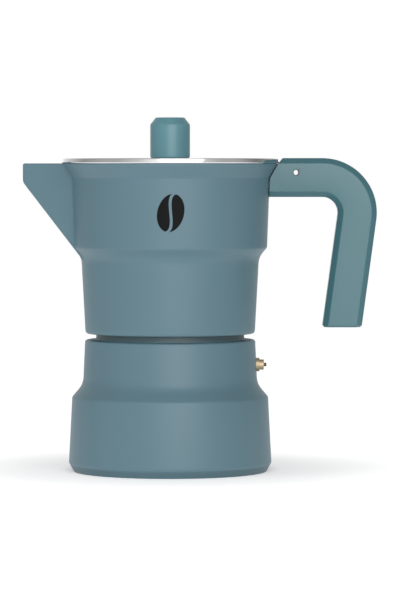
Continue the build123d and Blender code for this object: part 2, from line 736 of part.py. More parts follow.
with BuildPart() as handle:
    with BuildSketch(Plane.XZ) as handle_side:
        with BuildLine():
            Polyline((bend_x, arm_low_z), (collector_r(arm_low_z) + HANDLE_WALL_GAP, arm_low_z),
                     (FLARE_R + HANDLE_WALL_GAP, flare_z), (RIM_R + HANDLE_WALL_GAP, notch_z),
                     (front_x, handle_top_z), (bend_x, handle_top_z))
            CenterArc((bend_x, bend_z), HANDLE_BEND_R, 90, -bend_turn)
            Polyline(outer_start, outer_end, inner_end, inner_start)
            CenterArc((bend_x, bend_z), bend_inner_r, 90, -bend_turn)
        make_face()
        front_corner = handle_side.vertices().sort_by_distance((front_x, handle_top_z, 0))[0]
        chamfer(front_corner, HANDLE_FRONT_ROUND)
    extrude(amount=HANDLE_T / 2, both=True)
    side_edges = handle.edges().filter_by_position(Axis.Y, -HANDLE_T / 2, -HANDLE_T / 2)
    side_edges += handle.edges().filter_by_position(Axis.Y, HANDLE_T / 2, HANDLE_T / 2)
    chamfer([edge for edge in side_edges if edge.center().X > front_x + HANDLE_FRONT_ROUND
             and edge.center().Z > HANDLE_END_Z + HANDLE_BEVEL], HANDLE_BEVEL)
    chamfer(handle.edges().group_by(Axis.Z)[0], HANDLE_END_ROUND)
    with BuildSketch(Plane.XZ):
        with Locations((pin_x, pin_z)):
            Circle(PIN_R)
    extrude(amount=HANDLE_T, both=True, mode=Mode.SUBTRACT)
    slot_length = pin_x + SLOT_REAR - FLARE_R
    with BuildSketch(Plane.XY.offset(lug_top_z)):
        with Locations((FLARE_R + slot_length / 2, 0)):
            Rectangle(slot_length, 2 * slot_half_w)
    extrude(amount=RIM_R, mode=Mode.SUBTRACT)
    pocket_length = RIM_R + LUG_REACH + LUG_GAP - cavity_r
    with BuildSketch(Plane.XY.offset(lug_low_z)):
        with Locations((cavity_r + pocket_length / 2, 0)):
            RectangleRounded(pocket_length, LUG_W + 2 * LUG_GAP, LUG_GAP * 5)
    extrude(amount=LUG_H + LUG_GAP, mode=Mode.SUBTRACT)
    with BuildSketch(Plane.XY.offset(arm_low_z)):
        with Locations((handle_screw_x, 0)):
            Circle(HANDLE_SCREW_PASS_R)
    extrude(amount=lug_low_z - arm_low_z, mode=Mode.SUBTRACT)
    with BuildSketch(Plane.XY.offset(arm_low_z)):
        with Locations((handle_screw_x, 0)):
            Circle(HANDLE_WASHER_R + LUG_GAP)
    extrude(amount=washer_seat_z - arm_low_z, mode=Mode.SUBTRACT)
keep(handle.part, "handle")

with BuildPart() as handle_washer:
    with BuildSketch(Plane.XY.offset(washer_seat_z)):
        with Locations((handle_screw_x, 0)):
            Circle(HANDLE_WASHER_R)
            Circle(HANDLE_SCREW_PASS_R, mode=Mode.SUBTRACT)
    extrude(amount=-HANDLE_WASHER_T)
keep(handle_washer.part, "handle_washer")

handle_screw_seat_z = washer_seat_z - HANDLE_WASHER_T
keep(screw(handle_screw_x, handle_screw_seat_z, HANDLE_SCREW_HEAD_R, HANDLE_SCREW_HEAD_H,
           lug_top_z - handle_screw_seat_z), "handle_screw")

# ---------------------------------------------------------------- safety valve
collar_end_x = valve_face_x + VALVE_COLLAR_T
snout_end_x = collar_end_x + VALVE_SNOUT_T
washer_x = valve_inner_x - SEAL_WASHER_T
nut_x = washer_x - NUT_T
shank_x = nut_x - SHANK_PROUD
ring_x = shank_x + VALVE_RING_T
bore_end_x = snout_end_x - VALVE_END_WALL
disc_end_x = ring_x + STEM_DISC_T


def turned(section):
    """A piece turned about the valve's axis, from its half section in (x, radius) points."""
    with BuildPart() as body:
        with BuildSketch(Plane.XZ):
            with BuildLine():
                Polyline(*[(x, VALVE_Z + radius) for x, radius in section], close=True)
            make_face()
        revolve(axis=Axis((0, 0, VALVE_Z), (1, 0, 0)))
    return body.part


with BuildPart() as valve_body:
    add(turned([
        (shank_x, VALVE_BORE_R),
        (shank_x, VALVE_SHANK_R),
        (valve_face_x, VALVE_SHANK_R),
        (valve_face_x, VALVE_COLLAR_R),
        (collar_end_x, VALVE_COLLAR_R),
        (collar_end_x, VALVE_SNOUT_R),
        (snout_end_x, VALVE_SNOUT_R),
        (snout_end_x, STEM_R + STEM_RUNNING_GAP),
        (bore_end_x, STEM_R + STEM_RUNNING_GAP),
        (bore_end_x, VALVE_BORE_R),
    ]))
    outer_rims = valve_body.edges().filter_by(GeomType.CIRCLE).filter_by(
        lambda edge: edge.radius > VALVE_BORE_R and edge.center().X > collar_end_x - SCREW_GAP)
    chamfer(outer_rims.sort_by(Axis.X)[-1], VALVE_END_WALL / 4)
keep(valve_body.part, "valve_body")

keep(turned([
    (shank_x, VALVE_PASSAGE_R),
    (shank_x, VALVE_BORE_R),
    (ring_x, VALVE_BORE_R),
    (ring_x, VALVE_PASSAGE_R),
]), "valve_ring")

with BuildPart() as valve_stem:
    add(turned([
        (ring_x, 0),
        (ring_x, STEM_DISC_R),
        (disc_end_x, STEM_DISC_R),
        (disc_end_x, STEM_R),
        (snout_end_x + STEM_PROUD, STEM_R),
        (snout_end_x + STEM_PROUD, 0),
    ]))
    fillet(valve_stem.edges().group_by(Axis.X)[-1], STEM_R / 2)
keep(valve_stem.part, "valve_stem")

keep(turned([
    (washer_x, VALVE_SHANK_R + STEM_RUNNING_GAP),
    (washer_x, SEAL_WASHER_R),
    (valve_inner_x, SEAL_WASHER_R),
    (valve_inner_x, VALVE_SHANK_R + STEM_RUNNING_GAP),
]), "valve_washer")

with BuildPart() as valve_nut:
    with BuildSketch(Plane.YZ.offset(nut_x)):
        with Locations((0, VALVE_Z)):
            RegularPolygon(NUT_FLATS / 2, 6, major_radius=False)
            Circle(VALVE_SHANK_R + SCREW_GAP, mode=Mode.SUBTRACT)
    extrude(amount=NUT_T)
keep(valve_nut.part, "valve_nut")

spring_length = bore_end_x - disc_end_x - 2 * SPRING_WIRE_R
spring_start = Vector(disc_end_x + SPRING_WIRE_R, 0, VALVE_Z)
with BuildPart() as valve_spring:
    with BuildLine() as coil:
        Helix(spring_length / SPRING_TURNS, spring_length, SPRING_MEAN_R,
              center=spring_start, direction=(1, 0, 0))
    with BuildSketch(Plane(origin=coil.line @ 0, z_dir=coil.line % 0)):
        Circle(SPRING_WIRE_R)
    sweep(path=coil.line, is_frenet=True)
keep(valve_spring.part, "valve_spring")
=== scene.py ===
"""Looks of a stovetop moka pot: painted castings, a polished lid, moulded handle and knob.

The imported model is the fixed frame. The large castings and mouldings are remade here as smooth,
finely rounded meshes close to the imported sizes. The small pieces keep their own shapes and get a
finish. Sizes of the pieces are in millimetres and those of the studio in metres. +Z is up, +X points
to the handle and -X to the spout.
"""

from __future__ import annotations

import json
import logging
import math
from dataclasses import dataclass, field
from enum import Enum
from typing import Any, Callable, Iterable, Sequence

import bmesh
import bpy
from mathutils import Matrix, Vector

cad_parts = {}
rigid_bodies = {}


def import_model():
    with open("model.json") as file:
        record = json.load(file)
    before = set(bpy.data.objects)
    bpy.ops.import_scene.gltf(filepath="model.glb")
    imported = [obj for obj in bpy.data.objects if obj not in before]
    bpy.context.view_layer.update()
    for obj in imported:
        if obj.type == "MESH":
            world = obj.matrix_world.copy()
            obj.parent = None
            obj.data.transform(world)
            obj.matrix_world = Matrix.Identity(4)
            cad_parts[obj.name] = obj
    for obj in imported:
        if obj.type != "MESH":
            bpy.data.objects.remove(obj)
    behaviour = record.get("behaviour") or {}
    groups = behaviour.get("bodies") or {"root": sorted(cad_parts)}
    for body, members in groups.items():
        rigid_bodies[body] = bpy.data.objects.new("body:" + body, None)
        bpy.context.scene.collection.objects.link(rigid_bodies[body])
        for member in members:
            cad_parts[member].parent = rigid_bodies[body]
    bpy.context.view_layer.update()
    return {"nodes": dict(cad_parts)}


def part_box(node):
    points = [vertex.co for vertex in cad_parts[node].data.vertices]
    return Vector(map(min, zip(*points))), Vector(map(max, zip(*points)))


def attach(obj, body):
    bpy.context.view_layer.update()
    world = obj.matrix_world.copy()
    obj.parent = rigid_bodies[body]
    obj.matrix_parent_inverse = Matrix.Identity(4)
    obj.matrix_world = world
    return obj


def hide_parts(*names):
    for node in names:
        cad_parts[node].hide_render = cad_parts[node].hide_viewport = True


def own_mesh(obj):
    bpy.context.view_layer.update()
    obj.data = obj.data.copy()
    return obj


LOG = logging.getLogger("moka_pot")
MM = 0.001
SHARP_DEG = 32.0  # an edge that turns more than this stays sharp
LUG_H = 3.7  # height of the lug that enters the handle, in millimetres
LUG_HALF_W = 4.4
LUG_REACH = 61.0  # from the pot's axis

Point = tuple[float, float]
Place = tuple[float, float, float]
Colour = tuple[float, float, float, float]


# ------------------------------------------------------------------ shader maths
class Sock:
    """One shader output, with the arithmetic of plain numbers."""

    def __init__(self, graph: Graph, socket: bpy.types.NodeSocket) -> None:
        """Wrap a socket of a graph."""
        self.graph = graph
        self.socket = socket

    def _math(self, operation: str, first: Any, second: Any) -> Sock:
        """Add one Math node."""
        return self.graph.add("ShaderNodeMath", {"operation": operation}, {0: first, 1: second})

    def __add__(self, other: Sock | float) -> Sock:
        """Sum."""
        return self._math("ADD", self, other)

    __radd__ = __add__

    def __sub__(self, other: Sock | float) -> Sock:
        """Difference."""
        return self._math("SUBTRACT", self, other)

    def __rsub__(self, other: float) -> Sock:
        """Difference, with this value taken away."""
        return self._math("SUBTRACT", other, self)

    def __mul__(self, other: Sock | float) -> Sock:
        """Product."""
        return self._math("MULTIPLY", self, other)

    __rmul__ = __mul__

    def __truediv__(self, other: Sock | float) -> Sock:
        """Quotient."""
        return self._math("DIVIDE", self, other)

    def __pow__(self, other: float) -> Sock:
        """Power."""
        return self._math("POWER", self, other)

    def sine(self) -> Sock:
        """Sine of this value in radians."""
        return self._math("SINE", self, 0.0)

    def ramp(self, low: float, high: float) -> Sock:
        """A smooth step from 0 at low to 1 at high."""
        return self.graph.add(
            "ShaderNodeMapRange",
            {"interpolation_type": "SMOOTHSTEP", "clamp": True},
            {"Value": self, "From Min": low, "From Max": high},
        )


class Graph:
    """A node tree that is written as expressions."""

    def __init__(self, tree: bpy.types.NodeTree) -> None:
        """Start from an emptied node tree."""
        self.tree = tree
        tree.nodes.clear()

    def add(
        self,
        kind: str,
        settings: dict[str, Any] | None = None,
        inputs: dict[int | str, Any] | None = None,
        output: int | str = 0,
    ) -> Sock:
        """Add a node and return one of its outputs.

        Args:
            kind: the node's type name.
            settings: properties that are set before the sockets; "stops" fills a colour ramp.
            inputs: values or links, by socket name or number.
            output: the output to hand back.

        Returns:
            The chosen output as a value for more expressions.
        """
        return Sock(self, self._node(kind, settings, inputs or {}).outputs[output])

    def end(self, kind: str, shader: Sock) -> None:
        """Send a shader to an output node."""
        self._node(kind, None, {"Surface": shader})

    def _node(
        self, kind: str, settings: dict[str, Any] | None, inputs: dict[int | str, Any]
    ) -> bpy.types.Node:
        """Add a node with its settings, values and links."""
        node = self.tree.nodes.new(kind)
        for name, value in (settings or {}).items():
            if name == "stops":
                self._fill_ramp(node.color_ramp, value)
            else:
                setattr(node, name, value)
        for key, value in inputs.items():
            if isinstance(value, Sock):
                self.tree.links.new(value.socket, node.inputs[key])
            else:
                node.inputs[key].default_value = value
        return node

    @staticmethod
    def _fill_ramp(ramp: bpy.types.ColorRamp, stops: Sequence[tuple[float, Colour]]) -> None:
        """Write a colour ramp's stops."""
        while len(ramp.elements) < len(stops):
            ramp.elements.new(1.0)
        for element, (place, colour) in zip(ramp.elements, stops):
            element.position = place
            element.color = colour

    def place(self) -> Sock:
        """Position on the object, in metres."""
        return self.add("ShaderNodeTexCoord", output="Object")

    def vector(self, operation: str, *inputs: Any, output: int | str = 0) -> Sock:
        """Add one Vector Math node."""
        return self.add("ShaderNodeVectorMath", {"operation": operation}, dict(enumerate(inputs)), output)

    def axis(self, vector: Sock, name: str) -> Sock:
        """One of X, Y and Z of a vector."""
        return self.add("ShaderNodeSeparateXYZ", inputs={"Vector": vector}, output=name)

    def noise(self, scale: float, detail: float = 2.0, stretch: Point | None = None) -> Sock:
        """Noise from 0 to 1 with this many waves to the metre.

        Args:
            scale: waves to the metre.
            detail: octaves of finer noise.
            stretch: optional scale across (X and Y) and up (Z), for drawn-out grain.

        Returns:
            The noise's factor.
        """
        place = self.place()
        if stretch is not None:
            across, up = stretch
            place = self.vector("MULTIPLY", place, (across, across, up))
        return self.add(
            "ShaderNodeTexNoise",
            inputs={"Vector": place, "Scale": scale, "Detail": detail},
            output="Fac",
        )

    def mix(self, share: Sock | float, first: Any, second: Any) -> Sock:
        """Mix two colours."""
        return self.add(
            "ShaderNodeMix",
            {"data_type": "RGBA"},
            {"Factor": share, 6: first, 7: second},
            output=2,
        )

    def bump(self, height: Sock, strength: float, depth: float) -> Sock:
        """A normal from a height of 0 to 1.

        Args:
            height: relief, 0 to 1.
            strength: how much of the relief shows, 0 to 1.
            depth: relief in metres.

        Returns:
            The bent normal.
        """
        return self.add(
            "ShaderNodeBump", inputs={"Strength": strength, "Distance": depth, "Height": height}
        )

    def surface(self, **sockets: Any) -> None:
        """End the material in a Principled shader.

        Args:
            sockets: socket names, with _ for a blank, and their values or links.
        """
        values = {name.replace("_", " "): value for name, value in sockets.items()}
        shader = self.add("ShaderNodeBsdfPrincipled", inputs=values)
        self.end("ShaderNodeOutputMaterial", shader)


def new_graph(name: str) -> tuple[bpy.types.Material, Graph]:
    """A new node material and its graph."""
    material = bpy.data.materials.new(name)
    material.use_nodes = True
    return material, Graph(material.node_tree)


def rgb(red: float, green: float, blue: float) -> Colour:
    """A colour as it is seen, 0 to 255, in the linear values that shaders take."""

    def linear(value: float) -> float:
        """One channel."""
        share = value / 255
        return share / 12.92 if share <= 0.04045 else ((share + 0.055) / 1.055) ** 2.4

    return (linear(red), linear(green), linear(blue), 1.0)


def shade(colour: Colour, factor: float) -> Colour:
    """The same colour, darker or lighter."""
    red, green, blue, alpha = colour
    return (red * factor, green * factor, blue * factor, alpha)


# ------------------------------------------------------------------ finishes
@dataclass(frozen=True)
class SatinPaint:
    """Baked satin paint over a cast body: a fine orange peel and faint cloudiness."""

    name: str = "satin_paint"
    colour: Colour = rgb(90, 120, 131)
    roughness: float = 0.45
    peel_scale: float = 1500.0
    cloud_scale: float = 45.0

    def build(self) -> bpy.types.Material:
        """Make the material."""
        material, graph = new_graph(self.name)
        cloud = graph.noise(self.cloud_scale, 3.0)
        peel = graph.noise(self.peel_scale, 2.0)
        speck = graph.noise(self.peel_scale * 3, 1.0).ramp(0.66, 0.74)
        tint = graph.mix(cloud, shade(self.colour, 0.97), shade(self.colour, 1.03))
        graph.surface(
            Base_Color=graph.mix(speck * 0.12, tint, shade(self.colour, 1.35)),
            Roughness=self.roughness + (peel - 0.5) * 0.10 + (cloud - 0.5) * 0.05,
            Specular_IOR_Level=0.45,
            Normal=graph.bump(peel, 0.10, 0.00008),
        )
        return material


@dataclass(frozen=True)
class MouldedPlastic:
    """Moulded plastic in one colour, with a fine grain and a soft sheen."""

    name: str
    colour: Colour
    roughness: float
    grain: float = 0.08
    grain_scale: float = 2600.0

    def build(self) -> bpy.types.Material:
        """Make the material."""
        material, graph = new_graph(self.name)
        grain = graph.noise(self.grain_scale, 3.0)
        flow = graph.noise(38.0, 2.0, stretch=(1.0, 0.3))
        graph.surface(
            Base_Color=graph.mix(flow, shade(self.colour, 0.97), shade(self.colour, 1.03)),
            Roughness=self.roughness + (grain - 0.5) * 0.08 + (flow - 0.5) * 0.04,
            Specular_IOR_Level=0.5,
            Normal=graph.bump(grain, self.grain, 0.00006),
        )
        return material


class Lay(Enum):
    """The way that tool marks run on a metal face."""

    TURNED = "rings about the pot's axis"
    DRAWN = "fine lines up the wall"
    CAST = "no direction"


@dataclass(frozen=True)
class Metal:
    """Bare metal with its own colour, gloss and tool marks."""

    name: str
    colour: Colour
    roughness: float
    lay: Lay = Lay.CAST
    mark_scale: float = 900.0
    marks: float = 0.05
    stain: Colour | None = None

    def _marks(self, graph: Graph) -> Sock:
        """Relief of the tool marks, 0 to 1."""
        if self.lay is Lay.TURNED:
            flat = graph.vector("MULTIPLY", graph.place(), (1.0, 1.0, 0.0))
            radius = graph.vector("LENGTH", flat, output="Value")
            wobble = graph.noise(self.mark_scale / 8, 2.0) * 0.6
            return (radius * self.mark_scale * math.tau + wobble).sine() * 0.5 + 0.5
        if self.lay is Lay.DRAWN:
            return graph.noise(self.mark_scale, 2.0, stretch=(1.0, 0.04))
        return graph.noise(self.mark_scale, 4.0)

    def build(self) -> bpy.types.Material:
        """Make the material."""
        material, graph = new_graph(self.name)
        marks = self._marks(graph)
        cloud = graph.noise(120.0, 3.0)
        colour: Any = graph.mix(cloud, shade(self.colour, 0.94), shade(self.colour, 1.04))
        if self.stain is not None:
            colour = graph.mix(graph.noise(240.0, 4.0).ramp(0.52, 0.80) * 0.7, colour, self.stain)
        graph.surface(
            Base_Color=colour,
            Metallic=1.0,
            Roughness=self.roughness + (cloud - 0.5) * 0.08 + (marks - 0.5) * 0.06,
            Normal=graph.bump(marks, self.marks, 0.00005),
        )
        return material


@dataclass(frozen=True)
class SoftSeal:
    """Rubber or fibre: matt, slightly mottled."""

    name: str
    colour: Colour
    roughness: float = 0.75

    def build(self) -> bpy.types.Material:
        """Make the material."""
        material, graph = new_graph(self.name)
        mottle = graph.noise(420.0, 4.0)
        graph.surface(
            Base_Color=graph.mix(mottle, shade(self.colour, 0.88), shade(self.colour, 1.06)),
            Roughness=self.roughness + (mottle - 0.5) * 0.15,
            Normal=graph.bump(mottle, 0.2, 0.00008),
        )
        return material


@dataclass(frozen=True)
class StampedInk:
    """Dark printing ink, a little worn."""

    name: str = "stamped_ink"
    colour: Colour = rgb(4, 5, 6)

    def build(self) -> bpy.types.Material:
        """Make the material."""
        material, graph = new_graph(self.name)
        wear = graph.noise(900.0, 3.0)
        graph.surface(
            Base_Color=graph.mix(wear, shade(self.colour, 0.8), shade(self.colour, 1.4)),
            Roughness=0.6 + (wear - 0.5) * 0.1,
            Specular_IOR_Level=0.15,
            Normal=graph.bump(wear, 0.1, 0.00003),
        )
        return material


PAINT = SatinPaint()
# Body paint made darker for the neck that shows in the gap under the chamber: painted shade.
NECK_PAINTED_SHADE = SatinPaint("neck_shade_paint", rgb(76, 97, 102))
HANDLE_PLASTIC = MouldedPlastic("handle_plastic", rgb(68, 111, 119), 0.34)
KNOB_PLASTIC = MouldedPlastic("knob_plastic", rgb(94, 141, 151), 0.36, grain=0.03)
POLISHED = Metal("polished_aluminium", rgb(236, 236, 236), 0.09, Lay.TURNED, 700.0, 0.02)
TURNED_ALUMINIUM = Metal("turned_aluminium", rgb(190, 191, 194), 0.36, Lay.TURNED, 1400.0, 0.12)
DRAWN_ALUMINIUM = Metal("drawn_aluminium", rgb(205, 206, 208), 0.30, Lay.DRAWN, 1800.0, 0.08)
STEEL = Metal("stainless_steel", rgb(190, 189, 186), 0.26, Lay.DRAWN, 2200.0, 0.08)
BRASS = Metal(
    "turned_brass", rgb(204, 186, 156), 0.55, Lay.CAST, 900.0, 0.10, stain=rgb(128, 104, 66)
)
DARK_BRASS = Metal("dark_brass", rgb(104, 84, 46), 0.4, Lay.CAST, 900.0, 0.10)
# Steel made dark for the hinge leaf, pin and lid tongue, standing in for the shade in the gap beside the handle:
# painted shade.
STEEL_DARKENED_FOR_SHADE = Metal("steel_painted_shade", rgb(74, 78, 80), 0.45, Lay.DRAWN, 1500.0, 0.08)
RUBBER = SoftSeal("gasket_rubber", rgb(222, 216, 204))
FIBRE = SoftSeal("red_fibre", rgb(128, 52, 40), 0.65)
INK = StampedInk()


# ------------------------------------------------------------------ outlines
@dataclass(frozen=True)
class Corner:
    """A corner of a turned outline: radius, height and how far it is rounded."""

    r: float
    z: float
    rounding: float = 0.0


def rounded(corners: Sequence[Corner], closed: bool = False, step_deg: float = 15.0) -> list[Point]:
    """Turn corners into a line of points, with an arc in place of each rounded corner.

    Args:
        corners: the outline's corners in order, in millimetres.
        closed: whether the last corner joins the first.
        step_deg: the most that one step of an arc turns.

    Returns:
        Points as (radius, height), in millimetres.
    """
    line: list[Point] = []
    count = len(corners)
    for index, corner in enumerate(corners):
        inner = closed or 0 < index < count - 1
        here = Vector((corner.r, corner.z))
        if not inner or corner.rounding <= 0:
            line.append((here.x, here.y))
            continue
        before = corners[index - 1]
        after = corners[(index + 1) % count]
        back = Vector((before.r, before.z)) - here
        ahead = Vector((after.r, after.z)) - here
        turn = math.pi - back.angle(ahead)
        if turn < math.radians(1):
            line.append((here.x, here.y))
            continue
        reach = corner.rounding * math.tan(turn / 2)
        reach = min(reach, back.length * 0.49, ahead.length * 0.49)
        start = here + back.normalized() * reach
        end = here + ahead.normalized() * reach
        steps = max(2, math.ceil(math.degrees(turn) / step_deg))
        bisector = (back.normalized() + ahead.normalized()).normalized()
        radius = reach / math.tan(turn / 2)
        centre = here + bisector * (radius / math.cos(turn / 2))
        first = start - centre
        sweep = first.angle_signed(end - centre)
        for step in range(steps + 1):
            arm = first.copy()
            arm.rotate(Matrix.Rotation(-sweep * step / steps, 2))
            line.append((centre.x + arm.x, centre.y + arm.y))
    return line


def radius_at(outline: Sequence[Point], z: float) -> float:
    """Radius of an outline that only rises, at a height."""
    for (r0, z0), (r1, z1) in zip(outline, outline[1:]):
        if z0 <= z <= z1:
            return r0 if z1 == z0 else r0 + (r1 - r0) * (z - z0) / (z1 - z0)
    return outline[0][0] if z < outline[0][1] else outline[-1][0]


def smooth_max(first: float, second: float, blend: float) -> float:
    """The larger of two values, with a soft join of the given width."""
    share = max(blend - abs(first - second), 0.0) / blend
    return max(first, second) + share * share * blend / 4


def smooth_min(first: float, second: float, blend: float) -> float:
    """The smaller of two values, with a soft join of the given width."""
    return -smooth_max(-first, -second, blend)


# ------------------------------------------------------------------ mesh tools
def mesh_object(
    name: str, mesh: bmesh.types.BMesh, sharp_deg: float = SHARP_DEG, outward: bool = True
) -> bpy.types.Object:
    """Make a shown object from a bmesh, with smooth shading and sharp edges by angle.

    Args:
        name: name of the piece.
        mesh: the mesh in millimetres; it is freed.
        sharp_deg: edges that turn more than this stay sharp.
        outward: turn all faces outward, which suits a closed mesh.

    Returns:
        The object, at the frame's origin.
    """
    bmesh.ops.scale(mesh, vec=(MM, MM, MM), verts=mesh.verts)
    if outward:
        bmesh.ops.recalc_face_normals(mesh, faces=mesh.faces)
    data = bpy.data.meshes.new(name)
    mesh.to_mesh(data)
    mesh.free()
    data.shade_smooth()
    data.set_sharp_from_angle(angle=math.radians(sharp_deg))
    piece = bpy.data.objects.new(name, data)
    bpy.context.scene.collection.objects.link(piece)
    return piece


def skin_rings(mesh: bmesh.types.BMesh, rings: Sequence[Sequence[Vector]], close: bool) -> None:
    """Join rings of as many points each with faces.

    Args:
        mesh: the mesh to add to.
        rings: closed rings of points.
        close: whether the last ring joins the first; if not, both ends get a cap.
    """
    loops = [[mesh.verts.new(point) for point in ring] for ring in rings]
    count = len(loops[0])
    pairs = list(zip(loops, loops[1:] + loops[:1] if close else loops[1:]))
    for lower, upper in pairs:
        for index in range(count):
            after = (index + 1) % count
            mesh.faces.new((lower[index], lower[after], upper[after], upper[index]))
    if not close:
        mesh.faces.new(list(reversed(loops[0])))
        mesh.faces.new(loops[-1])


def lathe(mesh: bmesh.types.BMesh, section: Sequence[Point], segments: int) -> None:
    """Turn a closed section about the pot's axis; points on the axis become one vertex.

    Args:
        mesh: the mesh to add to.
        section: (radius, height) points, from the axis round to the axis, or a ring clear of it.
        segments: faces around.
    """
    on_axis = [index for index, (r, _) in enumerate(section) if r < 1e-6]
    columns: list[list[bmesh.types.BMVert]] = []
    shared = {index: mesh.verts.new((0, 0, section[index][1])) for index in on_axis}
    for column in range(segments):
        angle = math.tau * column / segments
        cos, sin = math.cos(angle), math.sin(angle)
        columns.append(
            [
                shared[index] if index in shared else mesh.verts.new((r * cos, r * sin, z))
                for index, (r, z) in enumerate(section)
            ]
        )
    count = len(section)
    last = count - 1 if on_axis else count
    for left, right in zip(columns, columns[1:] + columns[:1]):
        for index in range(last):
            after = (index + 1) % count
            corners = [left[index], right[index], right[after], left[after]]
            unique = list(dict.fromkeys(corners))
            mesh.faces.new(unique)


def add_ridge(
    piece: bpy.types.Object, wall_r: float, depth: float, start_z: float, pitch: float, turns: float
) -> None:
    """Add one thread ridge with tapered ends, rooted a little way into its wall.

    Args:
        piece: the piece that the ridge belongs to.
        wall_r: radius of the wall that the ridge stands on.
        depth: height of the ridge, negative for a ridge that stands inward.
        start_z: height of the first turn's middle.
        pitch: rise of one turn.
        turns: number of turns.
    """
    root_half, crest_half, sink, taper_turns = 0.85, 0.3, 0.25, 0.08
    way = 1 if depth > 0 else -1
    steps = int(turns * 96)
    rings = []
    for step in range(steps + 1):
        turn = turns * step / steps
        angle = math.tau * turn
        end = min(turn, turns - turn) / taper_turns
        grown = depth * min(1.0, 0.15 + 0.85 * math.sin(min(1.0, end) * math.pi / 2))
        middle = start_z + pitch * turn
        section = (
            (wall_r - way * sink, middle - root_half),
            (wall_r, middle - root_half + 0.05),
            (wall_r + grown - way * 0.12, middle - crest_half - 0.05),
            (wall_r + grown, middle - crest_half + 0.1),
            (wall_r + grown, middle + crest_half - 0.1),
            (wall_r + grown - way * 0.12, middle + crest_half + 0.05),
            (wall_r, middle + root_half - 0.05),
            (wall_r - way * sink, middle + root_half),
        )
        cos, sin = math.cos(angle), math.sin(angle)
        rings.append([Vector((r * cos, r * sin, z)) * MM for r, z in section])
    ridge = bmesh.new()
    skin_rings(ridge, rings, close=False)
    bmesh.ops.recalc_face_normals(ridge, faces=ridge.faces)
    for face in ridge.faces:
        face.smooth = True
        face.material_index = 1
    ridge.from_mesh(piece.data)
    ridge.to_mesh(piece.data)
    ridge.free()
    piece.data.set_sharp_from_angle(angle=math.radians(SHARP_DEG))


def cut(piece: bpy.types.Object, cutters: Iterable[bpy.types.Object]) -> None:
    """Cut cutters out of a piece for good and throw them away.

    Args:
        piece: the piece to cut.
        cutters: closed meshes that stand where the holes go.
    """
    for cutter in cutters:
        modifier = piece.modifiers.new("cut", "BOOLEAN")
        modifier.operation = "DIFFERENCE"
        modifier.solver = "EXACT"
        modifier.object = cutter
        bpy.context.view_layer.update()
        depsgraph = bpy.context.evaluated_depsgraph_get()
        result = bpy.data.meshes.new_from_object(piece.evaluated_get(depsgraph))
        piece.modifiers.clear()
        old = piece.data
        piece.data = result
        bpy.data.meshes.remove(old)
        bpy.data.objects.remove(cutter)
    piece.data.shade_smooth()
    piece.data.set_sharp_from_angle(angle=math.radians(SHARP_DEG))


def soften(piece: bpy.types.Object, width: float, angle_deg: float = 40.0) -> None:
    """Round a piece's sharp edges with a fine bevel, in millimetres."""
    bevel = piece.modifiers.new("soft_edges", "BEVEL")
    bevel.width = width * MM
    bevel.segments = 2
    bevel.limit_method = "ANGLE"
    bevel.angle_limit = math.radians(angle_deg)
    bevel.harden_normals = True


def box_cutter(low: Place, high: Place) -> bpy.types.Object:
    """A block between two corners, in millimetres, to cut with."""
    mesh = bmesh.new()
    size = [b - a for a, b in zip(low, high)]
    middle = [(a + b) / 2 for a, b in zip(low, high)]
    matrix = Matrix.Translation(middle) @ Matrix.Diagonal((*size, 1.0))
    bmesh.ops.create_cube(mesh, size=1.0, matrix=matrix)
    return mesh_object("cutter", mesh)


def prism_cutter(outline: Sequence[Point], half_y: float) -> bpy.types.Object:
    """A block with an outline of (x, z) points, as wide both ways along Y, to cut with."""
    mesh = bmesh.new()
    rings = [[Vector((x, y, z)) for x, z in outline] for y in (-half_y, half_y)]
    skin_rings(mesh, rings, close=False)
    return mesh_object("cutter", mesh)


def rod_cutter(centre: Place, radius: float, length: float, axis: Vector) -> bpy.types.Object:
    """A rod to cut with, about its centre, in millimetres."""
    mesh = bmesh.new()
    turn = Vector((0, 0, 1)).rotation_difference(axis).to_matrix().to_4x4()
    bmesh.ops.create_cone(
        mesh, cap_ends=True, segments=64, radius1=radius, radius2=radius, depth=length,
        matrix=Matrix.Translation(centre) @ turn,
    )
    return mesh_object("cutter", mesh)


def dress(piece: bpy.types.Object, material: bpy.types.Material) -> None:
    """Give a whole piece one material."""
    piece.data.materials.clear()
    piece.data.materials.append(material)


def box_mm(node: str) -> tuple[Vector, Vector]:
    """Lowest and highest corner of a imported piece, in millimetres."""
    low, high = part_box(node)
    return Vector(low) / MM, Vector(high) / MM


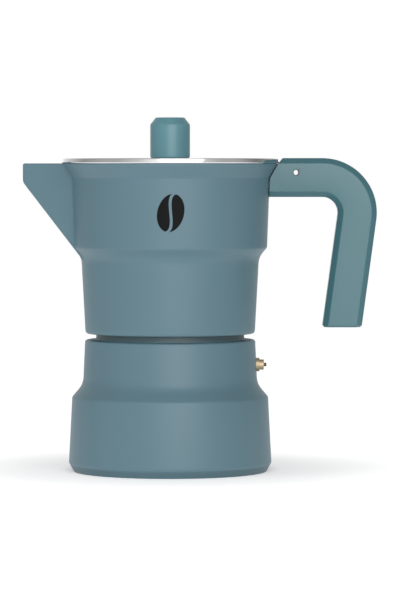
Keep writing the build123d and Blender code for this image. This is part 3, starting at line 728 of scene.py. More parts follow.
# ------------------------------------------------------------------ boiler
@dataclass
class Boiler:
    """The water tank: belly, waist, shoulder and threaded neck, in millimetres."""

    material: bpy.types.Material
    neck_material: bpy.types.Material
    neck_shade_paint: bpy.types.Material
    foot_r: float = 43.6
    belly_low: Point = (45.88, 4.1)
    belly_top: Point = (44.36, 33.8)
    waist: Point = (39.40, 39.62)
    waist_rounding: float = 9.0
    shoulder: Point = (38.5, 59.65)
    shoulder_rounding: float = 1.1
    neck_r: float = 33.5
    neck_bore_r: float = 29.5
    wall: float = 3.2
    floor: float = 4.0
    groove_r: float = 35.0
    groove_w: float = 1.2
    groove_depth: float = 0.5
    thread_depth: float = 1.4
    thread_pitch: float = 3.0
    thread_turns: float = 2.0
    thread_rise: float = 4.9
    segments: int = 160

    def _section(self) -> list[Point]:
        """The tank's whole section, from the axis under the base round to the axis inside."""
        rim_z = box_mm("boiler")[1].z
        half_groove = self.groove_w / 2
        inside_top = self.shoulder[1] - self.wall
        corners = [
            Corner(0, 0),
            Corner(self.groove_r - half_groove, 0),
            Corner(self.groove_r - half_groove, self.groove_depth),
            Corner(self.groove_r + half_groove, self.groove_depth),
            Corner(self.groove_r + half_groove, 0),
            Corner(self.foot_r, 0, 0.5),
            Corner(*self.belly_low, 2.2),
            Corner(*self.belly_top, 1.6),
            Corner(*self.waist, self.waist_rounding),
            Corner(*self.shoulder, self.shoulder_rounding),
            Corner(self.neck_r, self.shoulder[1], 0.4),
            Corner(self.neck_r, self.shoulder[1] + self.thread_rise - 1.0),
            Corner(self.neck_r, rim_z, 0.5),
            Corner(self.neck_bore_r, rim_z, 0.5),
            Corner(self.neck_bore_r, inside_top, 0.5),
            Corner(self.shoulder[0] - self.wall, inside_top, 2.0),
            Corner(self.waist[0] - self.wall, self.waist[1], 6.0),
            Corner(self.belly_top[0] - self.wall, self.belly_top[1] - self.wall / 2, 4.0),
            Corner(self.belly_low[0] - self.wall, self.floor, 3.2),
            Corner(0, self.floor),
        ]
        return rounded(corners, step_deg=10.0)

    def build(self) -> bpy.types.Object:
        """Make the tank with its thread and the valve's hole."""
        mesh = bmesh.new()
        lathe(mesh, self._section(), self.segments)
        piece = mesh_object("boiler_body", mesh)
        valve_low, valve_high = box_mm("valve_body")
        seat_r = (valve_high.z - valve_low.z) / 2 + 0.25
        middle_z = (valve_high.z + valve_low.z) / 2
        seat_x = box_mm("valve_washer")[1].x + self.wall - 0.6
        shank_r = 2.55
        cut(piece, [
            rod_cutter((seat_x, 0, middle_z), shank_r, 4 * self.wall, Vector((1, 0, 0))),
            rod_cutter((seat_x + self.wall, 0, middle_z), seat_r, 2 * self.wall, Vector((1, 0, 0))),
        ])
        dress(piece, self.material)
        piece.data.materials.append(self.neck_material)
        piece.data.materials.append(self.neck_shade_paint)
        for face in piece.data.polygons:
            if self._is_bare(face):
                face.material_index = 1
            # The neck above the shoulder gets the darker neck paint: painted shade in the gap under the chamber.
            elif face.center.z > (self.shoulder[1] + 0.3) * MM:
                face.material_index = 2
        add_ridge(
            piece, self.neck_r, self.thread_depth, self.shoulder[1] + self.thread_rise,
            self.thread_pitch, self.thread_turns,
        )
        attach(piece, "boiler")
        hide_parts("boiler")
        return piece

    def _is_bare(self, face: bpy.types.MeshPolygon) -> bool:
        """Whether a face has no paint: the inside, the thread and the face that it stands on."""
        x, y, z = face.center / MM
        inward = face.normal.x * x + face.normal.y * y < -0.1 * math.hypot(x, y)
        ceiling = face.normal.z < -0.5 and z > self.waist[1]
        floor = face.normal.z > 0.5 and z < self.floor + 3
        under = face.normal.z < -0.9 and z < 1
        return z > self.shoulder[1] + self.thread_rise - 0.9 or inward or ceiling or floor or under


# ------------------------------------------------------------------ collector
@dataclass
class Spout:
    """The pouring lip as seen from above: a V with a straight keel, in millimetres."""

    tip: float = 66.5
    tip_depth: float = 8.5
    half_width: float = 1.4
    plan_deg: float = 20.0
    keel_deg: float = 38.0
    wall: float = 2.0
    edge: float = 1.0
    join: float = 0.7

    def keel_x(self, below_rim: float) -> float:
        """How far the keel stands from the axis, this far below the rim."""
        slope = math.tan(math.radians(self.keel_deg))
        slanted = self.tip - (below_rim - self.tip_depth) * slope
        return smooth_min(self.tip, slanted, self.edge)

    def channel_x(self, below_rim: float) -> float:
        """How far the channel's floor stands from the axis, this far below the rim."""
        angle = math.radians(self.keel_deg)
        depth = self.tip_depth + self.wall / math.tan(angle) - self.wall / math.sin(angle)
        slanted = self.tip - self.wall - (below_rim - depth) * math.tan(angle)
        return smooth_min(self.tip - self.wall, slanted, self.edge)

    def reach(self, angle: float, below_rim: float, inner: bool) -> float:
        """Distance from the axis to the spout's wall.

        Args:
            angle: from the pouring direction, in radians.
            below_rim: depth under the rim.
            inner: the channel's wall, not the outside.

        Returns:
            The distance in millimetres, or 0 where the spout has ended.
        """
        slope = math.tan(math.radians(self.plan_deg))
        half, tip, front = self.half_width, self.tip, self.keel_x(below_rim)
        if inner:
            half += self.wall * slope - self.wall / math.cos(math.radians(self.plan_deg))
            tip -= self.wall
            front = self.channel_x(below_rim)
        angle = abs(angle)
        if angle > math.pi / 3 or front < 10:
            return 0.0
        side = (half + tip * slope) / (math.sin(angle) + slope * math.cos(angle))
        return smooth_min(side, front / math.cos(angle), self.edge)

    def edge_angle(self, below_rim: float, inner: bool) -> float:
        """Angle of the keel's edge from the pouring direction, in radians."""
        slope = math.tan(math.radians(self.plan_deg))
        if inner:
            half = self.half_width + self.wall * slope
            half -= self.wall / math.cos(math.radians(self.plan_deg))
            front, tip = self.channel_x(below_rim), self.tip - self.wall
        else:
            half, front, tip = self.half_width, self.keel_x(below_rim), self.tip
        front = max(front, 30.0)
        return math.atan2(max(half + (tip - front) * slope, 0.15), front)


@dataclass
class Collector:
    """The upper chamber with its spout, skirt, thread and handle lug, in millimetres."""

    material: bpy.types.Material
    bare: bpy.types.Material
    spout: Spout = field(default_factory=Spout)
    skirt_r: float = 38.34
    waist: Point = (40.17, 96.93)
    waist_rounding: float = 9.0
    crease: Point = (43.86, 101.3)
    flare: Point = (45.0, 132.7)
    rim_r: float = 48.8
    rim_edge: float = 0.9
    wall: float = 2.9
    bore_r: float = 35.3
    recess_r: float = 32.65
    recess_z: float = 73.3
    land_z: float = 76.4
    cavity_r: float = 27.0
    cavity_z: float = 78.8
    floor_z: float = 81.0
    column_r: float = 9.0
    spigot_r: float = 5.5
    thread_depth: float = 1.4
    thread_pitch: float = 3.0
    notch_half: float = 3.5
    notch_z: float = 136.9
    columns_round: int = 78

    def _outside(self, low_z: float, rim_z: float) -> list[Point]:
        """The painted wall from the skirt to the rim, without the rim's own rounding."""
        return rounded(
            [
                Corner(self.skirt_r, low_z),
                Corner(*self.waist, self.waist_rounding),
                Corner(*self.crease, 1.6),
                Corner(*self.flare, 0.8),
                Corner(self.rim_r, rim_z),
            ],
            step_deg=6.0,
        )

    def _inside(self, rim_z: float) -> list[Point]:
        """The bowl's wall from its floor to the rim."""
        return rounded(
            [
                Corner(self.skirt_r + 0.9 - self.wall, self.floor_z),
                Corner(self.waist[0] - self.wall, self.waist[1] + 0.8, 7.0),
                Corner(self.crease[0] - self.wall, self.crease[1] + 1.2, 3.0),
                Corner(self.flare[0] - self.wall, self.flare[1], 3.0),
                Corner(self.rim_r - self.wall, rim_z),
            ],
            step_deg=8.0,
        )

    def _angles(self, below_rim: float, wall_r: float, inner: bool) -> list[float]:
        """Angles of the mesh's columns at one height, drawn together at the spout's edges.

        Args:
            below_rim: depth under the rim.
            wall_r: radius of the round wall at this height.
            inner: for the channel, not the outside.

        Returns:
            Angles from the pouring direction, from 0 round to 360 degrees, in radians.
        """
        keel = self.spout.edge_angle(below_rim, inner)
        join = keel
        while join < math.pi / 3 and self.spout.reach(join, below_rim, inner) > wall_r:
            join += 0.004
        join = max(join, keel + 0.12)
        edge_half = min(keel * 0.6, 0.035)
        stops = [
            (0.0, 0),
            (keel - edge_half, 4),
            (keel + edge_half, 8),
            (join - 0.05, 18),
            (join + 0.05, 10),
            (math.pi, self.columns_round // 2),
        ]
        half = [0.0]
        for (low, _), (high, steps) in zip(stops, stops[1:]):
            half += [low + (high - low) * step / steps for step in range(1, steps + 1)]
        return half + [math.tau - angle for angle in reversed(half[1:-1])]

    def _ring(
        self, z: float, rim_z: float, wall_r: float, inner: bool, inset: float
    ) -> list[Vector]:
        """One ring of points round a wall and the spout.

        Args:
            z: height of the ring.
            rim_z: height of the rim.
            wall_r: radius of the round wall there.
            inner: the inside wall.
            inset: how far the ring is drawn in, for a rounded rim.

        Returns:
            The ring's points, starting at the spout.
        """
        ring = []
        depth = max(rim_z - z, 0.0)
        for angle in self._angles(depth, wall_r, inner):
            turned = angle if angle <= math.pi else math.tau - angle
            reach = self.spout.reach(turned, depth, inner)
            r = smooth_max(wall_r, reach, self.spout.join) - inset
            ring.append(Vector((-r * math.cos(angle), -r * math.sin(angle), z)))
        return ring

    def _plain_ring(self, r: float, z: float) -> list[Vector]:
        """A round ring whose columns run on from the spout's columns."""
        angles = self._angles(60.0, self.skirt_r, inner=False)
        return [Vector((-r * math.cos(a), -r * math.sin(a), z)) for a in angles]

    def _heights(
        self, outline: Sequence[Point], bends: Sequence[float], step: float
    ) -> list[float]:
        """Heights of a wall's rings: each bend, and steps no longer than given between them."""
        marks = sorted({round(z, 4) for _, z in outline} | {round(z, 4) for z in bends})
        heights = [marks[0]]
        for z in marks[1:]:
            gap = z - heights[-1]
            if gap < 0.05:
                continue
            count = math.ceil(gap / step)
            start = heights[-1]
            heights += [start + gap * part / count for part in range(1, count + 1)]
        return heights

    def build(self) -> list[bpy.types.Object]:
        """Make the chamber and its lug."""
        low, high = box_mm("upper_chamber")
        rim_z, skirt_z = high.z, low.z
        outside = self._outside(skirt_z, rim_z)
        inside = self._inside(rim_z)
        tip_bend = rim_z - self.spout.tip_depth
        bends = [tip_bend + offset for offset in (-1.2, -0.8, -0.4, 0.0, 0.4, 0.8)]
        rings = []
        edge, arc_steps = self.rim_edge, 5
        foot = 1.1
        for step in range(1, arc_steps + 1):
            turn = math.pi / 2 * step / arc_steps
            rings.append(self._plain_ring(self.skirt_r - foot * (1 - math.sin(turn)),
                                          skirt_z + foot * (1 - math.cos(turn))))
        for z in self._heights(outside, bends, 2.0):
            if skirt_z + foot + 0.4 < z < rim_z - edge - 0.05:
                rings.append(self._ring(z, rim_z, radius_at(outside, z), False, 0.0))
        for step in range(arc_steps + 1):
            turn = math.pi / 2 * step / arc_steps
            z = rim_z - edge * (1 - math.sin(turn))
            inset = edge * (1 - math.cos(turn))
            rings.append(self._ring(z, rim_z, radius_at(outside, z), False, inset))
        inner_edge = self.rim_edge / 2
        for step in range(arc_steps, -1, -1):
            turn = math.pi / 2 * step / arc_steps
            z = rim_z - inner_edge * (1 - math.sin(turn))
            inset = inner_edge * (math.cos(turn) - 1)
            rings.append(self._ring(z, rim_z, radius_at(inside, z), True, inset))
        for z in reversed(self._heights(inside, bends, 3.0)):
            if self.floor_z + 3.2 < z < rim_z - inner_edge - 0.05:
                rings.append(self._ring(z, rim_z, radius_at(inside, z), True, 0.0))
        below = [
            Corner(inside[0][0], self.floor_z + 3.2),
            Corner(inside[0][0], self.floor_z, 3.0),
            Corner(self.column_r + 2, self.floor_z),
            Corner(self.spigot_r, self.floor_z),
            Corner(self.spigot_r, self.cavity_z),
            Corner(self.column_r, self.cavity_z, 1.0),
            Corner(self.cavity_r, self.land_z, 0.5),
            Corner(self.recess_r, self.land_z),
            Corner(self.recess_r, self.recess_z),
            Corner(self.bore_r, self.recess_z),
            Corner(self.bore_r, skirt_z, 0.4),
            Corner(self.skirt_r - foot, skirt_z),
        ]
        rings += [self._plain_ring(r, z) for r, z in rounded(below, step_deg=15.0)]
        mesh = bmesh.new()
        skin_rings(mesh, rings, close=True)
        piece = mesh_object("collector_body", mesh)
        cut(piece, [box_cutter((self.flare[0] - self.wall - 0.5, -self.notch_half, self.notch_z),
                               (self.rim_r + 2, self.notch_half, rim_z + 2))])
        dress(piece, self.material)
        piece.data.materials.append(self.bare)
        for face in piece.data.polygons:
            x, y, z = face.center
            inward = face.normal.x * x + face.normal.y * y < -1e-7
            under = z < (self.cavity_z + 0.1) * MM and math.hypot(x, y) < (self.bore_r + 0.1) * MM
            if under or (inward and z < (rim_z - 0.3) * MM):
                face.material_index = 1
        add_ridge(
            piece, self.bore_r, -self.thread_depth, box_mm("boiler")[1].z - 5.95, self.thread_pitch, 2.0
        )
        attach(piece, "collector")
        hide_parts("upper_chamber")
        return [piece, self._lug()]

    def _lug(self) -> bpy.types.Object:
        """The cast lug that enters the handle."""
        screw_low, screw_high = box_mm("handle_screw")
        top = screw_high.z
        low_corner = (self.flare[0] - 1.2, -LUG_HALF_W, top - LUG_H)
        high_corner = (LUG_REACH, LUG_HALF_W, top)
        piece = box_cutter(low_corner, high_corner)
        piece.name = "handle_lug"
        middle_x = (screw_low.x + screw_high.x) / 2
        cut(piece, [rod_cutter((middle_x, 0, top), 2.0, 20.0, Vector((0, 0, 1)))])
        soften(piece, 0.4)
        dress(piece, self.material)
        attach(piece, "collector")
        return piece


# ------------------------------------------------------------------ bean mark
@dataclass
class BeanMark:
    """A plain coffee bean, printed on the front of the collector, in millimetres."""

    material: bpy.types.Material
    middle_x: float = 0.6
    middle_z: float = 117.5
    half_w: float = 5.9
    half_h: float = 8.6
    seam_w: float = 1.3
    seam_bow: float = 1.5
    tilt_deg: float = 14.0
    lift: float = 0.03
    rows: int = 40

    def _half_row(self, share: float, side: int) -> list[Point]:
        """Points across one half of the bean.

        Args:
            share: place along the seam, 0 at the foot and 1 at the top.
            side: 1 for the right half, -1 for the left.

        Returns:
            Points from the seam to the edge.
        """
        turn = math.pi * (share - 0.5)
        up = self.half_h * math.sin(turn) * 0.995
        edge = side * self.half_w * math.cos(turn)
        seam = self.seam_bow * math.sin(math.tau * share) + side * self.seam_w / 2
        if (edge - seam) * side < 0.05:
            edge = seam + side * 0.05
        return [(seam + (edge - seam) * part / 6, up) for part in range(7)]

    def build(self, wall: Callable[[float], float]) -> bpy.types.Object:
        """Make the mark, wrapped on the wall.

        Args:
            wall: gives the wall's radius at a height.

        Returns:
            The mark.
        """
        mesh = bmesh.new()
        cos, sin = math.cos(math.radians(self.tilt_deg)), math.sin(math.radians(self.tilt_deg))
        for side in (-1, 1):
            grid = []
            for row in range(self.rows + 1):
                share = 0.03 + 0.94 * row / self.rows
                line = []
                for across, up in self._half_row(share, side):
                    x = self.middle_x + across * cos + up * sin
                    z = self.middle_z - across * sin + up * cos
                    r = wall(z) + self.lift
                    line.append(mesh.verts.new((x, -math.sqrt(r * r - x * x), z)))
                grid.append(line)
            for low, high in zip(grid, grid[1:]):
                for index in range(len(low) - 1):
                    corners = (low[index], low[index + 1], high[index + 1], high[index])
                    mesh.faces.new(corners if side > 0 else tuple(reversed(corners)))
        piece = mesh_object("bean_mark", mesh, outward=False)
        dress(piece, self.material)
        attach(piece, "collector")
        return piece


# ------------------------------------------------------------------ lid and knob
@dataclass
class Lid:
    """The polished disc with its centring lip, in millimetres."""

    material: bpy.types.Material
    tongue_shade_material: bpy.types.Material
    edge: float = 0.55
    lip_r: float = 44.5
    lip_bore_r: float = 42.9
    lip_h: float = 1.2
    plate_t: float = 1.35
    hole_r: float = 2.2
    notch_half: float = 3.5
    segments: int = 192

    def build(self) -> list[bpy.types.Object]:
        """Make the disc and its tongue."""
        low, high = box_mm("lid")
        radius, top, lip_z = high.y, high.z, low.z
        seat = lip_z + self.lip_h
        plate = top - self.plate_t
        corners = [
            Corner(self.hole_r, plate, 0.0),
            Corner(self.lip_bore_r, plate, 0.4),
            Corner(self.lip_bore_r, lip_z, 0.3),
            Corner(self.lip_r, lip_z, 0.3),
            Corner(self.lip_r, seat, 0.3),
            Corner(radius, seat, self.edge),
            Corner(radius, top, self.edge),
            Corner(radius - 6.0, top, 0.0),
            Corner(self.hole_r, top, 0.0),
        ]
        mesh = bmesh.new()
        lathe(mesh, rounded(corners, closed=True, step_deg=12.0), self.segments)
        piece = mesh_object("lid_disc", mesh)
        cut(piece, [box_cutter((self.lip_bore_r - 1, -self.notch_half, lip_z - 1),
                               (self.lip_r + 1, self.notch_half, seat))])
        dress(piece, self.material)
        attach(piece, "lid")
        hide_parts("lid")
        return [piece, self._tongue(radius, seat)]

    def _tongue(self, radius: float, seat: float) -> bpy.types.Object:
        """The short tongue that the lid's edge runs out in, over the hinge leaf."""
        low, high = box_mm("lid_hinge_leaf")
        half = (high.y - low.y) / 2
        piece = box_cutter((radius - 0.8, -half, seat + 0.1), (radius + 1.6, half, seat + 0.65))
        piece.name = "lid_tongue"
        soften(piece, 0.15)
        # The tongue gets the darkened steel: painted shade in the gap between lid and handle.
        dress(piece, self.tongue_shade_material)
        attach(piece, "lid")
        return piece


@dataclass
class Knob:
    """The round knob on the lid, in millimetres."""

    material: bpy.types.Material
    chamfer_w: float = 2.5
    chamfer_h: float = 3.2
    insert_r: float = 4.0
    insert_h: float = 9.0
    segments: int = 96

    def build(self) -> bpy.types.Object:
        """Make the knob with the pocket for its insert."""
        low, high = box_mm("knob")
        radius = high.x
        corners = [
            Corner(0, low.z + self.insert_h),
            Corner(self.insert_r, low.z + self.insert_h),
            Corner(self.insert_r, low.z),
            Corner(radius, low.z, 0.9),
            Corner(radius, high.z - self.chamfer_h, 0.8),
            Corner(radius - self.chamfer_w, high.z, 0.5),
            Corner(0, high.z),
        ]
        mesh = bmesh.new()
        lathe(mesh, rounded(corners, step_deg=8.0), self.segments)
        piece = mesh_object("knob_body", mesh)
        dress(piece, self.material)
        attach(piece, "lid")
        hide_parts("knob")
        return piece


# ------------------------------------------------------------------ handle
@dataclass
class Handle:
    """The bent handle: a bevelled bar along an arm, a bend and a grip, in millimetres."""

    material: bpy.types.Material
    bar: float = 17.55
    bend_x: float = 68.65
    bend_r: float = 24.6
    lean_deg: float = 7.7
    bevel: float = 2.4
    end_edge: float = 0.8
    wall_gap: float = 0.05
    notch_step: float = 0.05
    front_x: float = 50.9
    rim_front: float = 49.0
    slot_half: float = 3.5
    slot_rear: float = 62.7
    pocket_reach: float = 61.2
    pocket_half: float = 4.6

    def _section(self) -> list[Point]:
        """The bar's section: (across from its middle, sideways), rounded at its bevels."""
        half, side = self.bar / 2, self._thickness() / 2
        soft = 0.5
        corners = [
            Corner(half, side - self.bevel, soft),
            Corner(half - self.bevel, side, soft),
            Corner(-half + self.bevel, side, soft),
            Corner(-half, side - self.bevel, soft),
            Corner(-half, -side + self.bevel, soft),
            Corner(-half + self.bevel, -side, soft),
            Corner(half - self.bevel, -side, soft),
            Corner(half, -side + self.bevel, soft),
        ]
        return rounded(corners, closed=True, step_deg=15.0)

    @staticmethod
    def _thickness() -> float:
        """The handle's size across the pot."""
        low, high = box_mm("handle")
        return high.y - low.y

    def build(self, collector: Collector, rim_z: float) -> bpy.types.Object:
        """Make the handle.

        Args:
            collector: the chamber that the handle's front follows.
            rim_z: height of the chamber's rim.

        Returns:
            The handle.
        """
        low, high = box_mm("handle")
        top, end_z = high.z, low.z
        bend_z = top - self.bend_r
        middle_r = self.bend_r - self.bar / 2
        section = self._section()
        wall = collector._outside(box_mm("upper_chamber")[0].z, rim_z)

        rings = []
        heights = [bend_z + middle_r + across for across, _ in section]
        start_x = self.front_x - 12.0
        for step in range(5):
            x = start_x + (self.bend_x - start_x) * step / 5
            rings.append([Vector((x, side, z)) for z, (_, side) in zip(heights, section)])
        turns, lean = 26, math.radians(self.lean_deg)
        for step in range(turns + 1):
            angle = (math.pi / 2 + lean) * step / turns
            sin, cos = math.sin(angle), math.cos(angle)
            ring = []
            for across, side in section:
                r = middle_r + across
                ring.append(Vector((self.bend_x + r * sin, side, bend_z + r * cos)))
            rings.append(ring)
        down = Vector((-math.sin(lean), 0, -math.cos(lean)))
        last = rings[-1]
        flat = [Vector((p.x - (p.z - end_z) * math.tan(lean), p.y, end_z)) for p in last]
        for share in (0.25, 0.5, 0.75):
            rings.append([point.lerp(foot, share) for point, foot in zip(last, flat)])
        rings.append([foot - down * self.end_edge for foot in flat])
        middle_x = sum(foot.x for foot in flat) / len(flat)
        inset_x = 1 - 2 * self.end_edge / self.bar
        inset_y = 1 - 2 * self.end_edge / self._thickness()
        rings.append([
            Vector((middle_x + (foot.x - middle_x) * inset_x, foot.y * inset_y, end_z))
            for foot in flat
        ])
        mesh = bmesh.new()
        skin_rings(mesh, rings, close=False)
        piece = mesh_object("handle_body", mesh)
        pin_low, pin_high = box_mm("hinge_pin")
        pin = (pin_low + pin_high) / 2
        screw_low, screw_high = box_mm("handle_screw")
        washer_high = box_mm("handle_washer")[1]
        screw_x = (screw_low.x + screw_high.x) / 2
        lug_top, slack = screw_high.z, 0.2
        step_z = rim_z + self.notch_step
        low_z = top - self.bar - 4
        steps = [low_z + (rim_z - low_z) * part / 40 for part in range(41)]
        front = [(radius_at(wall, z) + self.wall_gap, z) for z in steps]
        rise = (self.front_x - self.rim_front) / (top - step_z)
        front += [(self.rim_front, step_z), (self.front_x + 4 * rise, top + 4)]
        ahead = self.front_x - 20
        cut(piece, [
            prism_cutter([(ahead, low_z), *front, (ahead, top + 4)], self.bar),
            box_cutter((self.front_x - 10, -self.slot_half, lug_top),
                       (self.slot_rear, self.slot_half, top + 5)),
            box_cutter((self.front_x - 10, -self.pocket_half, lug_top - LUG_H),
                       (self.pocket_reach, self.pocket_half, lug_top + slack)),
            rod_cutter((pin.x, 0, pin.z), (pin_high.x - pin_low.x) / 2, 40.0, Vector((0, 1, 0))),
            rod_cutter((screw_x, 0, low.z + 62), 2.2, 8.0, Vector((0, 0, 1))),
            rod_cutter((screw_x, 0, washer_high.z - 5), 3.8, 10.0, Vector((0, 0, 1))),
        ])
        soften(piece, 0.3)
        dress(piece, self.material)
        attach(piece, "collector")
        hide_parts("handle")
        return piece


# ------------------------------------------------------------------ valve spring
@dataclass
class ValveSpring:
    """The valve's coil, a copy of the imported coil that keeps its length; lift, in metres, is not used to change
    it.
    """

    material: bpy.types.Material
    lift: float = 0.001

    def build(self, packed: bpy.types.Object) -> bpy.types.Object:
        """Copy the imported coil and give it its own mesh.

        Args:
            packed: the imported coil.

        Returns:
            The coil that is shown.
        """
        low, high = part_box("valve_spring")
        place = packed.matrix_world.copy()
        piece = packed.copy()
        piece.data = packed.data.copy()
        piece.name = "valve_coil"
        piece.parent = None
        piece.matrix_world = place
        bpy.context.scene.collection.objects.link(piece)
        dress(piece, self.material)
        bpy.context.view_layer.update()
        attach(piece, "boiler")
        length = high[0] - low[0]
        1 - self.lift / length
        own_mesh(piece)
        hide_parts("valve_spring")
        return piece


# ------------------------------------------------------------------ pieces that keep their own shape
@dataclass
class SmallPieces:
    """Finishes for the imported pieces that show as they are."""

    finishes: dict[str, tuple[str, ...]]

    def build(
        self, nodes: dict[str, bpy.types.Object], materials: dict[str, bpy.types.Material]
    ) -> None:
        """Dress each piece.

        Args:
            nodes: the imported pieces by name.
            materials: the finishes by name.
        """
        for finish, names in self.finishes.items():
            for name in names:
                dress(nodes[name], materials[finish])
                LOG.info("piece %s keeps its shape in %s", name, finish)


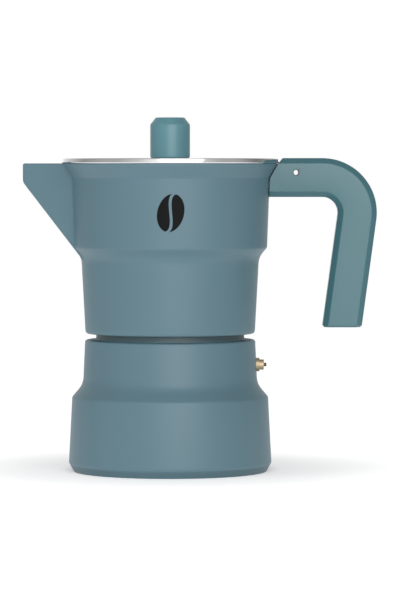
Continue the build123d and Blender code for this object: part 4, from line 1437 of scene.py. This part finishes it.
# ------------------------------------------------------------------ studio
@dataclass
class Studio:
    """Floor, soft light and camera."""

    floor_half: float = 30.0
    # Floor glow at the pot's foot and its rise outward: a painted shadow round the foot.
    painted_shadow_glow: float = 0.27
    painted_shadow_rise: float = 0.20
    painted_shadow_fade: float = 0.29
    painted_shadow_shift_y: float = 0.012
    back_right_dimming: float = 0.42
    overhead_dimming: float = 0.5
    surroundings: tuple[Point, ...] = (
        (-1.0, 1.10), (-0.85, 0.66), (-0.57, 0.46), (-0.17, 0.42), (0.24, 0.32), (0.54, 0.5),
        (0.85, 0.8), (1.0, 1.1),
    )
    camera_x: float = 0.01373
    camera_distance: float = 1.673
    camera_z: float = 0.1404
    pitch_deg: float = 2.16
    focal_mm: float = 221.63

    def _floor(self) -> None:
        """A pale matt floor that keeps the pot's shadow, with a painted shadow in its glow round the foot, and
        runs into the white surroundings.
        """
        mesh = bmesh.new()
        bmesh.ops.create_grid(mesh, x_segments=4, y_segments=4, size=self.floor_half / MM)
        floor = mesh_object("floor", mesh)
        material, graph = new_graph("floor_with_painted_shadow")
        place = graph.place()
        shifted = graph.vector("SUBTRACT", place, (0.0, self.painted_shadow_shift_y, 0.0))
        distance = graph.vector("LENGTH", shifted, output="Value")
        away = graph.vector("NORMALIZE", place)
        camera, mirrored = self._rays(graph)
        # The glow is dimmed near the pot and rises with distance, its centre shifted back: a painted shadow.
        level = self.painted_shadow_glow + distance.ramp(0.040, 0.052) * self.painted_shadow_rise
        level += distance.ramp(0.045, 0.140) * self.painted_shadow_fade
        matt = graph.add("ShaderNodeBsdfDiffuse", inputs={"Color": (0.80, 0.80, 0.80, 1.0)})
        glow = graph.add(
            "ShaderNodeEmission",
            inputs={"Color": (1, 1, 1, 1), "Strength": (camera + mirrored) * level},
        )
        near = graph.add("ShaderNodeAddShader", inputs={0: matt, 1: glow})
        far = graph.add(
            "ShaderNodeEmission", inputs={"Color": (1, 1, 1, 1), "Strength": self._surround(graph, away)}
        )
        both = graph.add(
            "ShaderNodeMixShader", inputs={0: mirrored * distance.ramp(0.25, 0.7), 1: near, 2: far}
        )
        graph.end("ShaderNodeOutputMaterial", both)
        dress(floor, material)

    def _world(self) -> None:
        """Studio surroundings: bright about the camera, grey to the sides, white behind."""
        world = bpy.data.worlds.new("studio")
        bpy.context.scene.world = world
        world.use_nodes = True
        graph = Graph(world.node_tree)
        way = graph.add("ShaderNodeTexCoord", output="Generated")
        camera, mirrored = self._rays(graph)
        overhead = graph.axis(way, "Z").ramp(0.15, 0.9) * (1 - mirrored)
        level = self._surround(graph, way) * (1 - overhead * self.overhead_dimming)
        glow = graph.add(
            "ShaderNodeBackground",
            inputs={"Color": (1, 1, 1, 1), "Strength": level * (1 - camera) + camera},
        )
        graph.end("ShaderNodeOutputWorld", glow)

    def _surround(self, graph: Graph, way: Sock) -> Sock:
        """How bright the studio is in one direction from the pot.

        Args:
            graph: the graph to add to.
            way: the direction, of length 1.

        Returns:
            The brightness, where 1 is white.
        """
        depth = graph.axis(way, "Y")
        stops = [((y + 1) / 2, (level, level, level, 1.0)) for y, level in self.surroundings]
        level = graph.add("ShaderNodeValToRGB", {"stops": stops}, {"Fac": depth * 0.5 + 0.5})
        grey = graph.add("ShaderNodeRGBToBW", inputs={"Color": level})
        back_right = graph.axis(way, "X").ramp(0.2, 0.9) * depth.ramp(-0.3, 0.4)
        return grey * (1 - back_right * self.back_right_dimming)

    @staticmethod
    def _rays(graph: Graph) -> tuple[Sock, Sock]:
        """Masks of what the camera sees straight, and of what metal and glass show."""
        camera = graph.add("ShaderNodeLightPath", output="Is Camera Ray")
        glossy = graph.add("ShaderNodeLightPath", output="Is Glossy Ray")
        through = graph.add("ShaderNodeLightPath", output="Is Transmission Ray")
        return camera, glossy + through

    @staticmethod
    def _lamp(
        name: str, place: Vector, aim: Vector, size: Point, power: float, mirrored: bool = True
    ) -> None:
        """A soft box.

        Args:
            name: name of the lamp.
            place: where it stands.
            aim: the point that it faces.
            size: width and height in metres.
            power: watts.
            mirrored: whether the camera and shiny faces see it.
        """
        data = bpy.data.lights.new(name, "AREA")
        data.shape = "RECTANGLE"
        data.size, data.size_y = size
        data.energy = power
        lamp = bpy.data.objects.new(name, data)
        lamp.location = place
        lamp.rotation_euler = (aim - place).to_track_quat("-Z", "Y").to_euler()
        lamp.visible_camera = lamp.visible_glossy = mirrored
        bpy.context.scene.collection.objects.link(lamp)

    def build(self) -> None:
        """Set up the studio."""
        self._floor()
        self._world()
        middle = Vector((0, 0, 0.08))
        self._lamp("front_box", Vector((0.325, -1.464, 0.45)), middle, (1.24, 0.95), 11.5)
        self._lamp("left_fill", Vector((-1.21, -0.70, 0.40)), middle, (0.9, 0.9), 4.5, False)
        self._lamp("table_bounce", Vector((0, -0.25, 0.002)), Vector((0, -0.25, 1)), (1.3, 1.3), 2.3, False)
        scene = bpy.context.scene
        data = bpy.data.cameras.new("camera")
        data.lens = self.focal_mm
        data.sensor_width = 36.0
        data.clip_end = 100.0
        camera = bpy.data.objects.new("camera", data)
        camera.location = (self.camera_x, -self.camera_distance, self.camera_z)
        camera.rotation_euler = (math.radians(90 - self.pitch_deg), 0, 0)
        scene.collection.objects.link(camera)
        scene.camera = camera
        scene.view_settings.view_transform = "Standard"


SMALL_PIECES = SmallPieces(
    {
        "drawn_aluminium": ("funnel", "funnel_strainer", "filter_plate"),
        "turned_aluminium": ("riser_column", "lid_hinge_rivets"),
        "stainless_steel": ("knob_washer", "knob_screw", "handle_washer", "handle_screw"),
        # Hinge leaf and pin in darkened steel: painted shade in the gap beside the handle.
        "steel_painted_shade": ("lid_hinge_leaf", "hinge_pin"),
        "turned_brass": ("valve_body", "valve_ring", "valve_nut", "knob_insert"),
        "dark_brass": ("valve_stem",),
        "gasket_rubber": ("gasket",),
        "red_fibre": ("valve_washer",),
    }
)


def main() -> None:
    """Build the pot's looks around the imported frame."""
    logging.basicConfig(level=logging.INFO, format="%(name)s: %(message)s")
    for old in list(bpy.data.objects):
        bpy.data.objects.remove(old)
    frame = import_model()
    finishes = (
        PAINT, NECK_PAINTED_SHADE, HANDLE_PLASTIC, KNOB_PLASTIC, POLISHED, TURNED_ALUMINIUM, DRAWN_ALUMINIUM, STEEL, BRASS,
        DARK_BRASS, STEEL_DARKENED_FOR_SHADE, RUBBER, FIBRE, INK,
    )
    materials = {finish.name: finish.build() for finish in finishes}
    boiler = Boiler(
        materials[PAINT.name], materials[TURNED_ALUMINIUM.name], materials[NECK_PAINTED_SHADE.name]
    )
    collector = Collector(materials[PAINT.name], materials[TURNED_ALUMINIUM.name])
    rim_z = box_mm("upper_chamber")[1].z
    made = [boiler.build(), *collector.build()]
    wall = collector._outside(box_mm("upper_chamber")[0].z, rim_z)
    made.append(BeanMark(materials[INK.name]).build(lambda z: radius_at(wall, z)))
    made += Lid(materials[POLISHED.name], materials[STEEL_DARKENED_FOR_SHADE.name]).build()
    made.append(Knob(materials[KNOB_PLASTIC.name]).build())
    made.append(Handle(materials[HANDLE_PLASTIC.name]).build(collector, rim_z))
    made.append(ValveSpring(materials[STEEL.name]).build(frame["nodes"]["valve_spring"]))
    for piece in made:
        LOG.info("made %s with %d faces", piece.name, len(piece.data.polygons))
    SMALL_PIECES.build(frame["nodes"], materials)
    Studio().build()


if __name__ == "__main__":
    main()
